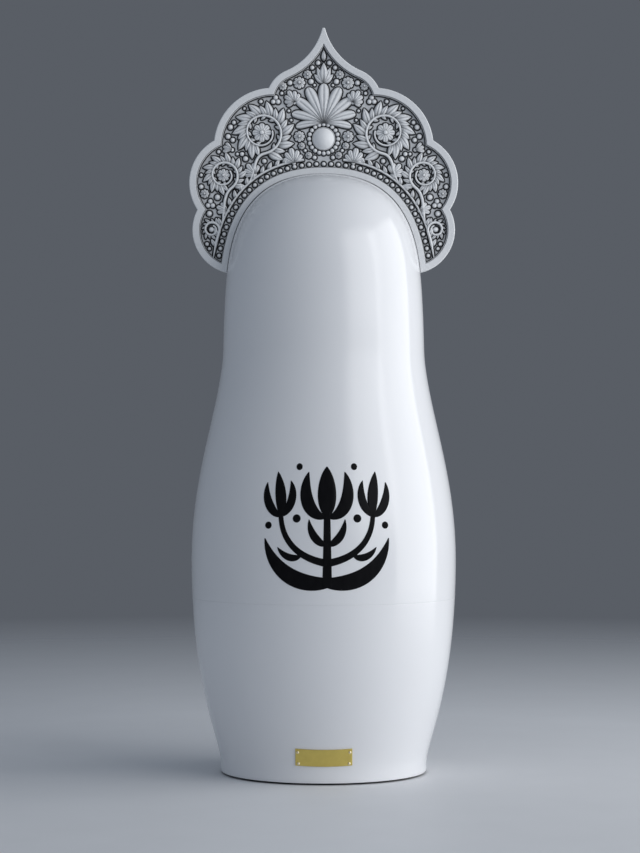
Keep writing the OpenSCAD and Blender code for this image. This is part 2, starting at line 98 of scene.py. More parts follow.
class Link:
    """An output socket, whose arithmetic adds Math nodes."""

    def __init__(self, shader: "Shader", socket: bpy.types.NodeSocket) -> None:
        """Keeps the socket and the shader that it belongs to."""
        self.shader = shader
        self.socket = socket

    def _math(self, operation: str, left: Any, right: Any) -> "Link":
        """Adds one Math node for an operation on two values or links."""
        return self.shader.add("ShaderNodeMath", {"operation": operation}, {0: left, 1: right})

    def __add__(self, other: Any) -> "Link":
        """Sum."""
        return self._math("ADD", self, other)

    __radd__ = __add__

    def __sub__(self, other: Any) -> "Link":
        """Difference."""
        return self._math("SUBTRACT", self, other)

    def __rsub__(self, other: Any) -> "Link":
        """Difference from a number."""
        return self._math("SUBTRACT", other, self)

    def __mul__(self, other: Any) -> "Link":
        """Product."""
        return self._math("MULTIPLY", self, other)

    __rmul__ = __mul__


class Shader:
    """The node tree of a material, a lamp or the world."""

    def __init__(self, owner: Any) -> None:
        """Empties the owner's node tree.

        Args:
            owner: The material, lamp or world.
        """
        owner.use_nodes = True
        self.owner = owner
        self.tree = owner.node_tree
        self.tree.nodes.clear()

    def add(self, kind: str, settings: dict[str, Any], sockets: dict[Any, Any], output: Any = 0) -> Link:
        """Adds a node.

        Args:
            kind: The node's type.
            settings: The node's own settings, set before its sockets. Stops are a ramp's places and levels.
            sockets: Values or links of its inputs, by name or number.
            output: Name or number of the output that is wanted.

        Returns:
            The wanted output, or the node's last input where it has no output.
        """
        node = self.tree.nodes.new(kind)
        for name, value in settings.items():
            if name == "stops":
                self._set_stops(node.color_ramp, value)
            else:
                setattr(node, name, value)
        for name, value in sockets.items():
            if isinstance(value, Link):
                self.tree.links.new(value.socket, node.inputs[name])
            elif isinstance(value, tuple) and node.inputs[name].type == "RGBA":
                node.inputs[name].default_value = (*value, 1.0)
            else:
                node.inputs[name].default_value = value
        return Link(self, node.outputs[output] if len(node.outputs) else node.inputs[-1])

    @staticmethod
    def _set_stops(ramp: bpy.types.ColorRamp, stops: Stops) -> None:
        """Sets a ramp's stops.

        Args:
            ramp: The ramp of a node.
            stops: Place and grey level of each stop.
        """
        while len(ramp.elements) < len(stops):
            ramp.elements.new(1.0)
        for element, (place, level) in zip(ramp.elements, stops):
            element.position = place
            element.color = (level, level, level, 1.0)

    def place(self, scale: Point = (1.0, 1.0, 1.0)) -> Link:
        """Place on the object in metres, stretched along each axis."""
        point = self.add("ShaderNodeTexCoord", {}, {}, "Object")
        return self.add("ShaderNodeMapping", {}, {"Vector": point, "Scale": Vector(scale)})

    def noise(self, place: Link, size_mm: float, detail: float = 2.0) -> Link:
        """Smooth noise from 0 to 1, with features of about that size."""
        sockets = {"Vector": place, "Scale": 1.0 / (size_mm * MM), "Detail": detail}
        return self.add("ShaderNodeTexNoise", {}, sockets, 0)

    def ramp(self, value: Link, stops: Stops) -> Link:
        """A value shaped by a ramp's stops."""
        return self.add("ShaderNodeValToRGB", {"stops": stops}, {0: value})

    def blend(self, share: Any, first: Any, second: Any) -> Link:
        """A mix of two colours."""
        return self.add("ShaderNodeMix", {"data_type": "RGBA"}, {0: share, 6: first, 7: second}, 2)

    def bump(self, height: Link, depth_mm: float) -> Link:
        """A surface normal from a height, with the height's depth in millimetres."""
        return self.add("ShaderNodeBump", {}, {"Height": height, "Distance": depth_mm * MM})

    def finish(self, sockets: dict[str, Any]) -> bpy.types.Material:
        """Ends a material's tree in a Principled surface.

        Args:
            sockets: Values or links of the surface's inputs.

        Returns:
            The material.
        """
        surface = self.add("ShaderNodeBsdfPrincipled", {}, sockets)
        self.add("ShaderNodeOutputMaterial", {}, {"Surface": surface})
        return self.owner


# Finishes


@dataclass(frozen=True)
class WhiteLacquer:
    """Clear gloss over white lacquer, with a faint orange peel."""

    colour: Colour = (0.80, 0.805, 0.82)
    drift: Colour = (0.775, 0.78, 0.80)
    drift_mm: float = 60.0
    peel_mm: float = 3.0
    peel_depth_mm: float = 0.004
    dust_mm: float = 0.7
    dust_stops: Stops = ((0.62, 0.0), (0.72, 1.0))
    roughness: float = 0.16
    drift_rough: float = 0.05
    dust_rough: float = 0.06
    coat_roughness: float = 0.1
    coat_ior: float = 1.45

    def material(self) -> bpy.types.Material:
        """Makes the material.

        Returns:
            The new material.
        """
        shader = Shader(bpy.data.materials.new("white_lacquer"))
        place = shader.place()
        cloud = shader.noise(place, self.drift_mm)
        peel = shader.noise(place, self.peel_mm, detail=1.0)
        dust = shader.ramp(shader.noise(place, self.dust_mm, detail=4.0), self.dust_stops)
        return shader.finish({
            "Base Color": shader.blend(cloud, self.colour, self.drift),
            "Roughness": self.roughness + cloud * self.drift_rough + dust * self.dust_rough,
            "Coat Weight": 1.0,
            "Coat Roughness": self.coat_roughness,
            "Coat IOR": self.coat_ior,
            "Specular IOR Level": 0.0,
            "Normal": shader.bump(peel, self.peel_depth_mm),
        })


@dataclass(frozen=True)
class TurnedWood:
    """Bare pale wood with fine rings left by the turning tool."""

    pale: Colour = (0.66, 0.49, 0.30)
    dark: Colour = (0.50, 0.34, 0.18)
    grain_mm: float = 2.6
    grain_stretch: float = 0.06
    grain_share: float = 0.75
    cloud_mm: float = 25.0
    streak_stops: Stops = ((0.3, 0.0), (0.7, 1.0))
    streak_dark: float = 0.8
    ring_dark: float = 0.12
    ring_mm: float = 1.1
    ring_wobble: float = 0.6
    ring_bump: float = 0.6
    ring_depth_mm: float = 0.03
    roughness: float = 0.5
    grain_rough: float = 0.15

    def material(self) -> bpy.types.Material:
        """Makes the material.

        Returns:
            The new material.
        """
        shader = Shader(bpy.data.materials.new("turned_wood"))
        grain = shader.noise(shader.place((1.0, 1.0, self.grain_stretch)), self.grain_mm, detail=5.0)
        cloud = shader.noise(shader.place(), self.cloud_mm)
        ring_scale = WAVE_LENGTH / (self.ring_mm * MM)
        rings = shader.add(
            "ShaderNodeTexWave",
            {"wave_type": "BANDS", "bands_direction": "Z"},
            {"Vector": shader.place(), "Scale": ring_scale, "Distortion": self.ring_wobble},
            1,
        )
        streak = shader.ramp(grain * self.grain_share + cloud * (1.0 - self.grain_share), self.streak_stops)
        shade = streak * self.streak_dark + rings * self.ring_dark
        height = rings * self.ring_bump + grain * (1.0 - self.ring_bump)
        return shader.finish({
            "Base Color": shader.blend(shade, self.pale, self.dark),
            "Roughness": self.roughness + grain * self.grain_rough,
            "Normal": shader.bump(height, self.ring_depth_mm),
        })


@dataclass(frozen=True)
class CarvedPaint:
    """Matte pale grey paint: a dark wash and painted shade in recesses, at the feet of raised shapes and in
    grooves, and a paler colour of wear and painted highlight on raised tops and edges.
    """

    colour: Colour = (0.68, 0.69, 0.705)
    wear_and_highlight: Colour = (0.92, 0.925, 0.93)
    wash: Colour = (0.006, 0.0065, 0.008)
    shade_wash_stops: Stops = ((0.1, 0.0), (0.4, 0.6), (0.7, 1.0))
    shade_wash_mottle: float = 0.2
    wear_and_highlight_mottle: float = 0.4
    wear_and_highlight_end: float = 8.0
    mottle_mm: float = 1.6
    brush_mm: float = 0.5
    brush_stretch: float = 0.35
    brush_depth_mm: float = 0.02
    brush_bump: float = 0.7
    mottle_bump: float = 0.3
    roughness: float = 0.46
    brush_rough: float = 0.14
    specular: float = 0.2

    def material(self) -> bpy.types.Material:
        """Makes the material, whose dark wash and painted shade follow an attribute of the mesh.

        Returns:
            The new material.
        """
        shader = Shader(bpy.data.materials.new("carved_paint"))
        mottle = shader.noise(shader.place(), self.mottle_mm, detail=4.0)
        brush = shader.noise(shader.place((1.0, 1.0, self.brush_stretch)), self.brush_mm, detail=3.0)
        # Painted shade, partly a dark wash: a mesh attribute, high in recesses, at the feet of raised shapes
        # and in grooves, turns the colour towards near black
        depth = shader.add("ShaderNodeAttribute", {"attribute_name": "wash"}, {}, "Fac")
        share = shader.ramp(depth + (mottle - 0.5) * self.shade_wash_mottle, self.shade_wash_stops)
        # Painted highlight, partly wear: where that attribute is low, on raised tops and edges, the paint
        # turns towards the pale colour
        paint = shader.blend(mottle * self.wear_and_highlight_mottle + depth * self.wear_and_highlight_end, self.wear_and_highlight, self.colour)
        return shader.finish({
            "Base Color": shader.blend(share, paint, self.wash),
            "Roughness": self.roughness + brush * self.brush_rough,
            "Specular IOR Level": self.specular,
            "Normal": shader.bump(brush * self.brush_bump + mottle * self.mottle_bump, self.brush_depth_mm),
        })


@dataclass(frozen=True)
class SatinBrass:
    """Satin brass with fine lines along the plate."""

    colour: Colour = (0.83, 0.66, 0.19)
    dull: Colour = (0.67, 0.52, 0.14)
    cloud_mm: float = 4.0
    cloud_dull: float = 0.7
    cloud_rough: float = 0.12
    line_mm: float = 0.25
    line_stretch: float = 0.02
    line_dull: float = 0.2
    line_rough: float = 0.08
    line_depth_mm: float = 0.006
    roughness: float = 0.24

    def material(self) -> bpy.types.Material:
        """Makes the material.

        Returns:
            The new material.
        """
        shader = Shader(bpy.data.materials.new("satin_brass"))
        stretched = shader.place((self.line_stretch, self.line_stretch, 1.0))
        lines = shader.noise(stretched, self.line_mm, detail=3.0)
        cloud = shader.noise(shader.place(), self.cloud_mm, detail=3.0)
        tarnish = cloud * self.cloud_dull + lines * self.line_dull
        return shader.finish({
            "Base Color": shader.blend(tarnish, self.colour, self.dull),
            "Metallic": 1.0,
            "Roughness": self.roughness + cloud * self.cloud_rough + lines * self.line_rough,
            "Normal": shader.bump(lines, self.line_depth_mm),
        })


@dataclass(frozen=True)
class PinBrass:
    """Pale brass of the pin heads, with fine scratches, its paleness partly painted glint."""

    colour: Colour = (0.98, 0.90, 0.66)
    scratched: Colour = (0.90, 0.78, 0.50)
    scratch_mm: float = 0.3
    scratch_rough: float = 0.1
    metallic: float = 0.75
    roughness: float = 0.38

    def material(self) -> bpy.types.Material:
        """Makes the material.

        Returns:
            The new material.
        """
        shader = Shader(bpy.data.materials.new("pin_brass_glint"))
        scratch = shader.noise(shader.place(), self.scratch_mm, detail=3.0)
        # Painted glint, partly the pins' own pale brass: the pale colour and part-metal finish keep the heads
        # bright
        return shader.finish({
            "Base Color": shader.blend(scratch, self.colour, self.scratched),
            "Metallic": self.metallic,
            "Roughness": self.roughness + scratch * self.scratch_rough,
        })


@dataclass(frozen=True)
class BlackGloss:
    """Black paint with a low gloss, laid on by hand."""

    colour: Colour = (0.004, 0.004, 0.005)
    thin: Colour = (0.010, 0.010, 0.011)
    stroke_mm: float = 3.0
    stroke_stretch: float = 0.4
    stroke_depth_mm: float = 0.006
    stroke_rough: float = 0.1
    roughness: float = 0.25
    specular: float = 0.04

    def material(self) -> bpy.types.Material:
        """Makes the material.

        Returns:
            The new material.
        """
        shader = Shader(bpy.data.materials.new("black_gloss"))
        stroke = shader.noise(shader.place((1.0, 1.0, self.stroke_stretch)), self.stroke_mm, detail=3.0)
        return shader.finish({
            "Base Color": shader.blend(stroke, self.colour, self.thin),
            "Roughness": self.roughness + stroke * self.stroke_rough,
            "Specular IOR Level": self.specular,
            "Normal": shader.bump(stroke, self.stroke_depth_mm),
        })


# Lines and grids of points


def pointing(degrees: float) -> np.ndarray:
    """A unit vector in a direction, in degrees."""
    turn = math.radians(degrees)
    return np.array([math.cos(turn), math.sin(turn)])


def spin(segments: int) -> np.ndarray:
    """Unit vectors all round, evenly spaced."""
    turn = np.arange(segments) * math.tau / segments
    return np.stack([np.cos(turn), np.sin(turn)], -1)


def with_height(place: np.ndarray, height: Any) -> np.ndarray:
    """Places joined with one height, or with a height each."""
    heights = np.broadcast_to(height, place.shape[:-1])
    return np.concatenate([place, heights[..., None]], axis=-1)


def right_normals(line: np.ndarray) -> np.ndarray:
    """Unit vectors to the right of a line.

    Args:
        line: The line's points.

    Returns:
        A vector for each point.
    """
    along = np.gradient(line, axis=0)
    along /= np.linalg.norm(along, axis=1)[:, None]
    return np.stack([along[:, 1], -along[:, 0]], -1)


def ribbon(line: np.ndarray, widths: np.ndarray, across: np.ndarray) -> np.ndarray:
    """A grid of places along a line, spread over its widths by shares from -1 to 1."""
    offset = (widths / 2)[:, None] * across
    return line[:, None, :] + right_normals(line)[:, None, :] * offset[..., None]


def run_along(line: np.ndarray) -> np.ndarray:
    """Distance along a line to each of its points."""
    return np.concatenate([[0.0], np.cumsum(np.linalg.norm(np.diff(line, axis=0), axis=1))])


def spots_along(line: np.ndarray, places: Any) -> np.ndarray:
    """The point at a distance along a line, or at each of several."""
    run = run_along(line)
    return np.stack([np.interp(places, run, line[:, 0]), np.interp(places, run, line[:, 1])], -1)


def evenly(line: np.ndarray, count: int) -> np.ndarray:
    """A number of points at even distances along a line."""
    return spots_along(line, np.linspace(0.0, run_along(line)[-1], count))


def reach_at(line: np.ndarray, height: Any) -> Any:
    """How far out a line that rises lies at a height, or at each of several."""
    return np.interp(height, line[:, 1], line[:, 0])


def rim(grid: np.ndarray) -> np.ndarray:
    """The points, or their numbers, around the edge of a grid."""
    return np.concatenate([grid[0, :-1], grid[:-1, -1], grid[-1, :0:-1], grid[:0:-1, 0]])


def bezier(a: Sequence, b: Sequence, c: Sequence, d: Sequence, steps: int) -> np.ndarray:
    """A cubic curve.

    Args:
        a: Its first point.
        b: The end of the handle at its first point.
        c: The end of the handle at its last point.
        d: Its last point.
        steps: Number of steps along it.

    Returns:
        Its points after the first.
    """
    t = np.linspace(0.0, 1.0, steps + 1)[1:, None]
    a, b, c, d = (np.asarray(p, float) for p in (a, b, c, d))
    return (1 - t) ** 3 * a + 3 * t * (1 - t) ** 2 * b + 3 * t**2 * (1 - t) * c + t**3 * d


def up(lean: float, rise: float) -> np.ndarray:
    """A handle that rises by a height and leans to the outside by an angle in degrees."""
    return np.array([rise * math.tan(math.radians(lean)), rise])


def eased(before: np.ndarray, corner: np.ndarray, after: np.ndarray, radius: float) -> np.ndarray:
    """Rounds a corner of an outline.

    Args:
        before: A point before the corner.
        corner: The corner.
        after: A point after the corner.
        radius: Distance from the corner at which the rounding begins and ends.

    Returns:
        Points of the rounding.
    """
    start = corner + radius * (before - corner) / np.linalg.norm(before - corner)
    end = corner + radius * (after - corner) / np.linalg.norm(after - corner)
    t = np.linspace(0.0, 1.0, 5)[:, None]
    return (1 - t) ** 2 * start + 2 * t * (1 - t) * corner + t**2 * end


def moved_out(line: np.ndarray, gap: float) -> np.ndarray:
    """Moves a rising line out along its normals, with its last point kept on the axis.

    Args:
        line: The line's points.
        gap: Distance to move it.

    Returns:
        The moved points.
    """
    normals = right_normals(line)
    normals[-1] = (0.0, 1.0)
    return line + gap * normals


# Meshes


@dataclass
class MeshDraft:
    """Points in millimetres and faces, gathered before one mesh is made."""

    points: list[np.ndarray] = field(default_factory=list)
    # Depth of the dark wash and painted shade at each point, for the carved paint
    wash: list[np.ndarray] = field(default_factory=list)
    faces: list[tuple[int, ...]] = field(default_factory=list)
    skins: list[int] = field(default_factory=list)
    count: int = 0

    def add_points(self, points: Any, wash: Any = 0.0) -> np.ndarray:
        """Adds points.

        Args:
            points: An array whose last axis is x, y and z.
            wash: Depth of the dark wash and painted shade, for all points or for each.

        Returns:
            The points' numbers, in the array's own shape.
        """
        points = np.asarray(points, float)
        shape = points.shape[:-1]
        self.points.append(points.reshape(-1, 3))
        self.wash.append(np.broadcast_to(wash, shape).ravel())
        first = self.count
        self.count += int(np.prod(shape))
        return np.arange(first, self.count).reshape(shape)

    def add_face(self, numbers: Sequence[int], skin: Skin = Skin.LACQUER) -> None:
        """Adds one face, leaving out a point that comes twice.

        Args:
            numbers: The corners' numbers, in order.
            skin: The finish of the face.
        """
        corners = tuple(dict.fromkeys(int(n) for n in numbers))
        if len(corners) > 2:
            self.faces.append(corners)
            self.skins.append(skin.value)

    def add_quads(self, numbers: np.ndarray, skin: Skin = Skin.LACQUER, closed: bool = False) -> None:
        """Joins a grid of points with quads.

        Args:
            numbers: The points' numbers, in rows.
            skin: The finish of the faces.
            closed: Whether each row is a ring.
        """
        if closed:
            numbers = np.concatenate([numbers, numbers[:, :1]], axis=1)
        corners = (numbers[:-1, :-1], numbers[:-1, 1:], numbers[1:, 1:], numbers[1:, :-1])
        for quad in zip(*(c.ravel() for c in corners)):
            self.add_face(quad, skin)

    def add_lathe(self, outline: np.ndarray, skins: Sequence[Skin], segments: int) -> None:
        """Turns an outline about the Z axis.

        Args:
            outline: Radius and height of each point, from a point on the axis.
            skins: The finish of the stretch that ends at each point.
            segments: Number of faces around.
        """
        on_axis = 1e-6
        previous = None
        for (radius, height), skin in zip(outline, skins):
            if radius < on_axis:
                ring = np.full(segments, self.add_points([[0.0, 0.0, height]])[0])
            else:
                ring = self.add_points(with_height(radius * spin(segments), height))
            if previous is not None:
                self.add_quads(np.stack([previous, ring]), skin, closed=True)
            previous = ring

    def make(self, name: str, materials: Sequence[bpy.types.Material],
             crease: float = 38.0) -> bpy.types.Object:
        """Makes the object.

        Args:
            name: The piece's name.
            materials: Its finishes, in the order of the skins.
            crease: Angle in degrees above which an edge stays sharp.

        Returns:
            The new object.
        """
        mesh = bpy.data.meshes.new(name)
        mesh.from_pydata((np.concatenate(self.points) * MM).tolist(), [], self.faces)
        mesh.polygons.foreach_set("material_index", self.skins)
        mesh.polygons.foreach_set("use_smooth", [True] * len(self.faces))
        # The dark wash and painted shade, as an attribute that the carved paint reads
        wash = mesh.attributes.new("wash", "FLOAT", "POINT")
        wash.data.foreach_set("value", np.concatenate(self.wash).astype(np.float32))
        shape = bmesh.new()
        shape.from_mesh(mesh)
        bmesh.ops.recalc_face_normals(shape, faces=shape.faces)
        shape.to_mesh(mesh)
        shape.free()
        mesh.set_sharp_from_angle(angle=math.radians(crease))
        for material in materials:
            mesh.materials.append(material)
        piece = bpy.data.objects.new(name, mesh)
        bpy.context.scene.collection.objects.link(piece)
        return piece


def put(piece: bpy.types.Object, body: str, slot: str, *nodes: str) -> None:
    """Puts a piece on a body, hides the nodes that it stands for, and reports it.

    Args:
        piece: The new piece.
        body: Name of the body that carries it.
        slot: A material slot's name, which is not used.
        nodes: Names of the nodes that it stands for.
    """
    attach(piece, body)
    if nodes:
        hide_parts(*nodes)
    LOG.info("%s: %d faces, on %s", piece.name, len(piece.data.polygons), body)


# Turned bodies


@dataclass(frozen=True)
class TurnedBody:
    """The largest doll's outside and hollow, in millimetres, as lines of radius and height.

    A lean is an angle in degrees from upright. A pull is the length of a curve's handle, as a share of the
    curve's rise, and at the top of the head as a share of the brow's radius.
    """

    foot_r: float = 61.4
    foot_h: float = 9.0
    foot_edge_r: float = 2.2
    belly_r: float = 79.2
    belly_z: float = 128.0
    neck_r: float = 61.0
    neck_z: float = 243.0
    head_r: float = 60.3
    head_z: float = 250.0
    brow_r: float = 58.1
    brow_z: float = 298.0
    body_h: float = 358.3
    foot_lean: float = 14.5
    neck_lean: float = 7.2
    head_lean: float = 1.0
    brow_lean: float = 5.0
    foot_pull: float = 0.16
    belly_low_pull: float = 0.57
    belly_high_pull: float = 0.41
    neck_pull: float = 0.28
    bend_low_pull: float = 0.5
    bend_high_pull: float = 0.4
    side_low_pull: float = 0.35
    side_high_pull: float = 0.3
    dome_side_pull: float = 0.8
    dome_top_pull: float = 0.5
    nest_ratio: float = 0.8207
    nest_gap: float = 3.2
    stand_gap: float = 0.1
    head_room: float = 14.0
    floor_t: float = 10.0
    part_z: float = 105.0
    spigot_h: float = 14.0
    fit_gap: float = 0.15
    end_gap: float = 0.4
    steps: int = 40
    edge_points: int = 7
    foot_points: int = 6
    line_points: int = 260
    smooth_passes: int = 14

    @property
    def wall(self) -> float:
        """Wall thickness at the belly, which the nested doll and its gap leave."""
        return self.belly_r * (1.0 - self.nest_ratio) - self.nest_gap

    @property
    def hollow_top(self) -> float:
        """Height of the hollow's flat end, above the nested doll's head."""
        return self.floor_t + self.nest_ratio * self.body_h + self.head_room

    def head_side(self) -> np.ndarray:
        """Draws the outside from the neck up to the top of the head.

        Returns:
            The line's points.
        """
        neck = np.array([self.neck_r, self.neck_z])
        head = np.array([self.head_r, self.head_z])
        brow = np.array([self.brow_r, self.brow_z])
        apex = np.array([0.0, self.body_h])
        bend_h = self.head_z - self.neck_z
        side_h = self.brow_z - self.head_z
        dome_h = self.body_h - self.brow_z
        bend = bezier(neck, neck + up(-self.neck_lean, bend_h * self.bend_low_pull),
                      head - up(-self.head_lean, bend_h * self.bend_high_pull), head, self.steps // 2)
        side = bezier(head, head + up(-self.head_lean, side_h * self.side_low_pull),
                      brow - up(-self.brow_lean, side_h * self.side_high_pull), brow, self.steps)
        dome = bezier(brow, brow + up(-self.brow_lean, dome_h * self.dome_side_pull),
                      apex + [self.brow_r * self.dome_top_pull, 0.0], apex, 2 * self.steps)
        return np.concatenate([neck[None], bend, side, dome])

    def outside(self) -> np.ndarray:
        """Draws the outside from the foot's edge up to the top of the head.

        Returns:
            The line's points.
        """
        turn = np.radians(np.linspace(0.0, 90.0, self.edge_points))
        edge_r = self.foot_r - self.foot_edge_r * (1 - np.sin(turn))
        edge = np.stack([edge_r, self.foot_edge_r * (1 - np.cos(turn))], -1)
        foot = np.array([self.foot_r, self.foot_h])
        side = np.linspace(edge[-1], foot, self.foot_points)
        belly = np.array([self.belly_r, self.belly_z])
        neck = np.array([self.neck_r, self.neck_z])
        rise, fall = self.belly_z - self.foot_h, self.neck_z - self.belly_z
        lower = bezier(foot, foot + up(self.foot_lean, rise * self.foot_pull),
                       belly - up(0, rise * self.belly_low_pull), belly, 2 * self.steps)
        upper = bezier(belly, belly + up(0, fall * self.belly_high_pull),
                       neck - up(-self.neck_lean, fall * self.neck_pull), neck, 2 * self.steps)
        return np.concatenate([edge[:-1], self._blended(side, lower, upper, self.head_side()[1:])])

    def _blended(self, *curves: np.ndarray) -> np.ndarray:
        """Joins curves into one evenly spaced line, with the change of bend spread out where they meet.

        Args:
            curves: The curves, in order.

        Returns:
            The line's points.
        """
        line = evenly(np.concatenate(curves), self.line_points)
        for _ in range(self.smooth_passes):
            line[1:-1] = 0.25 * line[:-2] + 0.5 * line[1:-1] + 0.25 * line[2:]
        return line

    def hollow(self) -> np.ndarray:
        """Draws the inside, which keeps the nested doll's shape below the belly and the outside's above it.

        Returns:
            The line's points.
        """
        line = self.outside()
        share = (self.belly_r - self.wall) / self.belly_r
        belly_z = self.floor_t + self.nest_ratio * self.belly_z
        stretch = (self.body_h - self.wall - belly_z) / (self.body_h - self.belly_z)
        low = self.floor_t + self.nest_ratio * line[:, 1]
        high = belly_z + stretch * (line[:, 1] - self.belly_z)
        return np.stack([line[:, 0] * share, np.where(line[:, 1] < self.belly_z, low, high)], -1)

    def radius_at(self, height: Any) -> Any:
        """The outside's radius at a height, or at each of several."""
        return reach_at(self.outside(), height)

    def scale(self, number: int) -> float:
        """Size of a doll as a share of the largest."""
        return self.nest_ratio ** (number - 1)

    def seat(self, number: int) -> float:
        """Height at which a doll stands inside the ones that hold it."""
        return sum(self.floor_t * self.scale(k) + self.stand_gap for k in range(1, number))


@dataclass(frozen=True)
class NestedDoll:
    """One doll of the set: two shells that fit at a spigot, or a solid one."""

    body: TurnedBody
    number: int
    seam_edge: float = 0.16
    rim_edge: float = 0.7
    end_edge: float = 3.0
    relief_w: float = 3.4
    relief_h: float = 0.75
    largest_segments: int = 192
    inner_segments: int = 112

    @property
    def name(self) -> str:
        """The doll's name in the frame."""
        return "outer" if self.number == 1 else f"doll_{self.number}"

    def _spigot_r(self) -> float:
        """Radius of the spigot, half way through the wall."""
        part_z = self.body.part_z
        return float(self.body.radius_at(part_z) + reach_at(self.body.hollow(), part_z)) / 2

    def _underside(self) -> Outline:
        """Draws the underside from its middle out, with its rim cut back, and black on the largest doll,
        partly as painted shade under the foot.

        Returns:
            Stretches of the outline with their finishes.
        """
        inner_r, outside = self.body.foot_r - self.relief_w, self.body.outside()
        # Painted shade, partly a black base: the largest doll's underside and cut-back rim are black, which
        # darkens the line under its foot
        skin = Skin.BASE if self.number == 1 else Skin.WOOD
        flat = np.array([[0.0, 0.0], [inner_r, 0.0], [inner_r, self.relief_h]])
        return [(flat, skin), (outside[outside[:, 1] > self.relief_h][:1], skin)]

    def _lower_outline(self) -> Outline:
        """Draws the lower shell from the underside's middle round to the floor's middle.

        Returns:
            Stretches of the outline with their finishes.
        """
        b = self.body
        outside, hollow = b.outside(), b.hollow()
        top = b.part_z + b.spigot_h
        seam = np.array([b.radius_at(b.part_z), b.part_z])
        root = np.array([self._spigot_r(), b.part_z])
        rim_out, rim_in = np.array([root[0], top]), np.array([reach_at(hollow, top), top])
        wall = outside[(outside[:, 1] > self.relief_h) & (outside[:, 1] < b.part_z - self.seam_edge)]
        bowl = hollow[hollow[:, 1] < top - self.rim_edge][::-1]
        return [
            *self._underside(),
            (wall[1:], Skin.LACQUER),
            (eased(wall[-1], seam, root, self.seam_edge), Skin.LACQUER),
            (root[None], Skin.WOOD),
            (eased(root, rim_out, rim_in, self.rim_edge), Skin.WOOD),
            (eased(rim_out, rim_in, bowl[0], self.rim_edge), Skin.WOOD),
            (bowl, Skin.WOOD),
            (np.array([[0.0, b.floor_t]]), Skin.WOOD),
        ]

    def _upper_outline(self) -> Outline:
        """Draws the upper shell from the top of the head round to the middle of the hollow's flat end.

        Returns:
            Stretches of the outline with their finishes.
        """
        b = self.body
        outside, hollow = b.outside(), b.hollow()
        scale = b.scale(self.number)
        socket_r = self._spigot_r() + b.fit_gap / scale
        socket_top = b.part_z + b.spigot_h + b.end_gap / scale
        seam = np.array([b.radius_at(b.part_z), b.part_z])
        mouth, shelf = np.array([socket_r, b.part_z]), np.array([socket_r, socket_top])
        step = np.array([reach_at(hollow, socket_top), socket_top])
        wall = outside[outside[:, 1] > b.part_z + self.seam_edge][::-1]
        low, high = socket_top + self.rim_edge, b.hollow_top - self.end_edge
        bore = hollow[(hollow[:, 1] > low) & (hollow[:, 1] < high)]
        corner = np.array([reach_at(hollow, b.hollow_top), b.hollow_top])
        middle = np.array([0.0, b.hollow_top])
        return [
            (wall, Skin.LACQUER),
            (eased(wall[-1], seam, mouth, self.seam_edge), Skin.LACQUER),
            (eased(seam, mouth, shelf, self.rim_edge), Skin.WOOD),
            (shelf[None], Skin.WOOD),
            (eased(shelf, step, bore[0], self.rim_edge), Skin.WOOD),
            (bore, Skin.WOOD),
            (eased(bore[-1], corner, middle, self.end_edge), Skin.WOOD),
            (middle[None], Skin.WOOD),
        ]

    def _solid_outline(self) -> Outline:
        """The solid doll from the underside's middle to the top of the head."""
        outside = self.body.outside()
        return [*self._underside(), (outside[outside[:, 1] > self.relief_h][1:], Skin.LACQUER)]

    def _turn(self, outline: Outline, name: str, finishes: Materials) -> bpy.types.Object:
        """Makes one turned piece from its outline.

        Args:
            outline: Stretches of the outline with their finishes, at the largest doll's size.
            name: The piece's name.
            finishes: The materials by name.

        Returns:
            The new piece.
        """
        line = np.concatenate([stretch for stretch, _ in outline]) * self.body.scale(self.number)
        line[:, 1] += self.body.seat(self.number)
        skins = [skin for stretch, skin in outline for _ in stretch]
        draft = MeshDraft()
        draft.add_lathe(line, skins, self.largest_segments if self.number == 1 else self.inner_segments)
        return draft.make(name, [finishes[f] for f in ("white_lacquer", "bare_wood", "black_gloss")])

    def build(self, finishes: Materials, solid: bool = False) -> None:
        """Builds the doll's pieces and puts them on their bodies.

        Args:
            finishes: The materials by name.
            solid: Whether this is the smallest doll, which doesn't open.
        """
        if solid:
            piece = self._turn(self._solid_outline(), f"{self.name}_turned", finishes)
            put(piece, self.name, "white_lacquer", f"{self.name}_solid")
            return
        outlines = {Half.LOWER: self._lower_outline(), Half.UPPER: self._upper_outline()}
        for half, outline in outlines.items():
            stem = f"{self.name}_{half.value}"
            piece = self._turn(outline, f"{stem}_shell", finishes)
            put(piece, stem, "white_lacquer", f"{stem}_half")


# Headdress


@dataclass(frozen=True)
class Lobe:
    """One round part of the headdress outline, on the right-hand side."""

    x: float
    z: float
    r: float

    @property
    def centre(self) -> np.ndarray:
        """Place of the lobe's centre."""
        return np.array([self.x, self.z])

    def crossing(self, other: "Lobe", inset: float) -> np.ndarray:
        """Finds the outer point where this lobe crosses the next one up.

        Args:
            other: The next lobe up.
            inset: Distance by which both are drawn in.

        Returns:
            The point.
        """
        own_r, other_r = self.r - inset, other.r - inset
        gap = float(np.linalg.norm(other.centre - self.centre))
        along = (gap**2 + own_r**2 - other_r**2) / (2 * gap)
        off = math.sqrt(max(own_r**2 - along**2, 0.0))
        u = (other.centre - self.centre) / gap
        return self.centre + along * u + off * np.array([u[1], -u[0]])

    def arc(self, start: np.ndarray, end: np.ndarray, inset: float, steps: int) -> np.ndarray:
        """Draws part of the lobe.

        Args:
            start: The point at which it starts.
            end: The point before which it ends.
            inset: Distance by which the lobe is drawn in.
            steps: Number of points.

        Returns:
            The points.
        """
        first = math.atan2(start[1] - self.z, start[0] - self.x)
        last = math.atan2(end[1] - self.z, end[0] - self.x)
        turn = np.linspace(first, last, steps, endpoint=False)
        return self.centre + (self.r - inset) * np.stack([np.cos(turn), np.sin(turn)], -1)


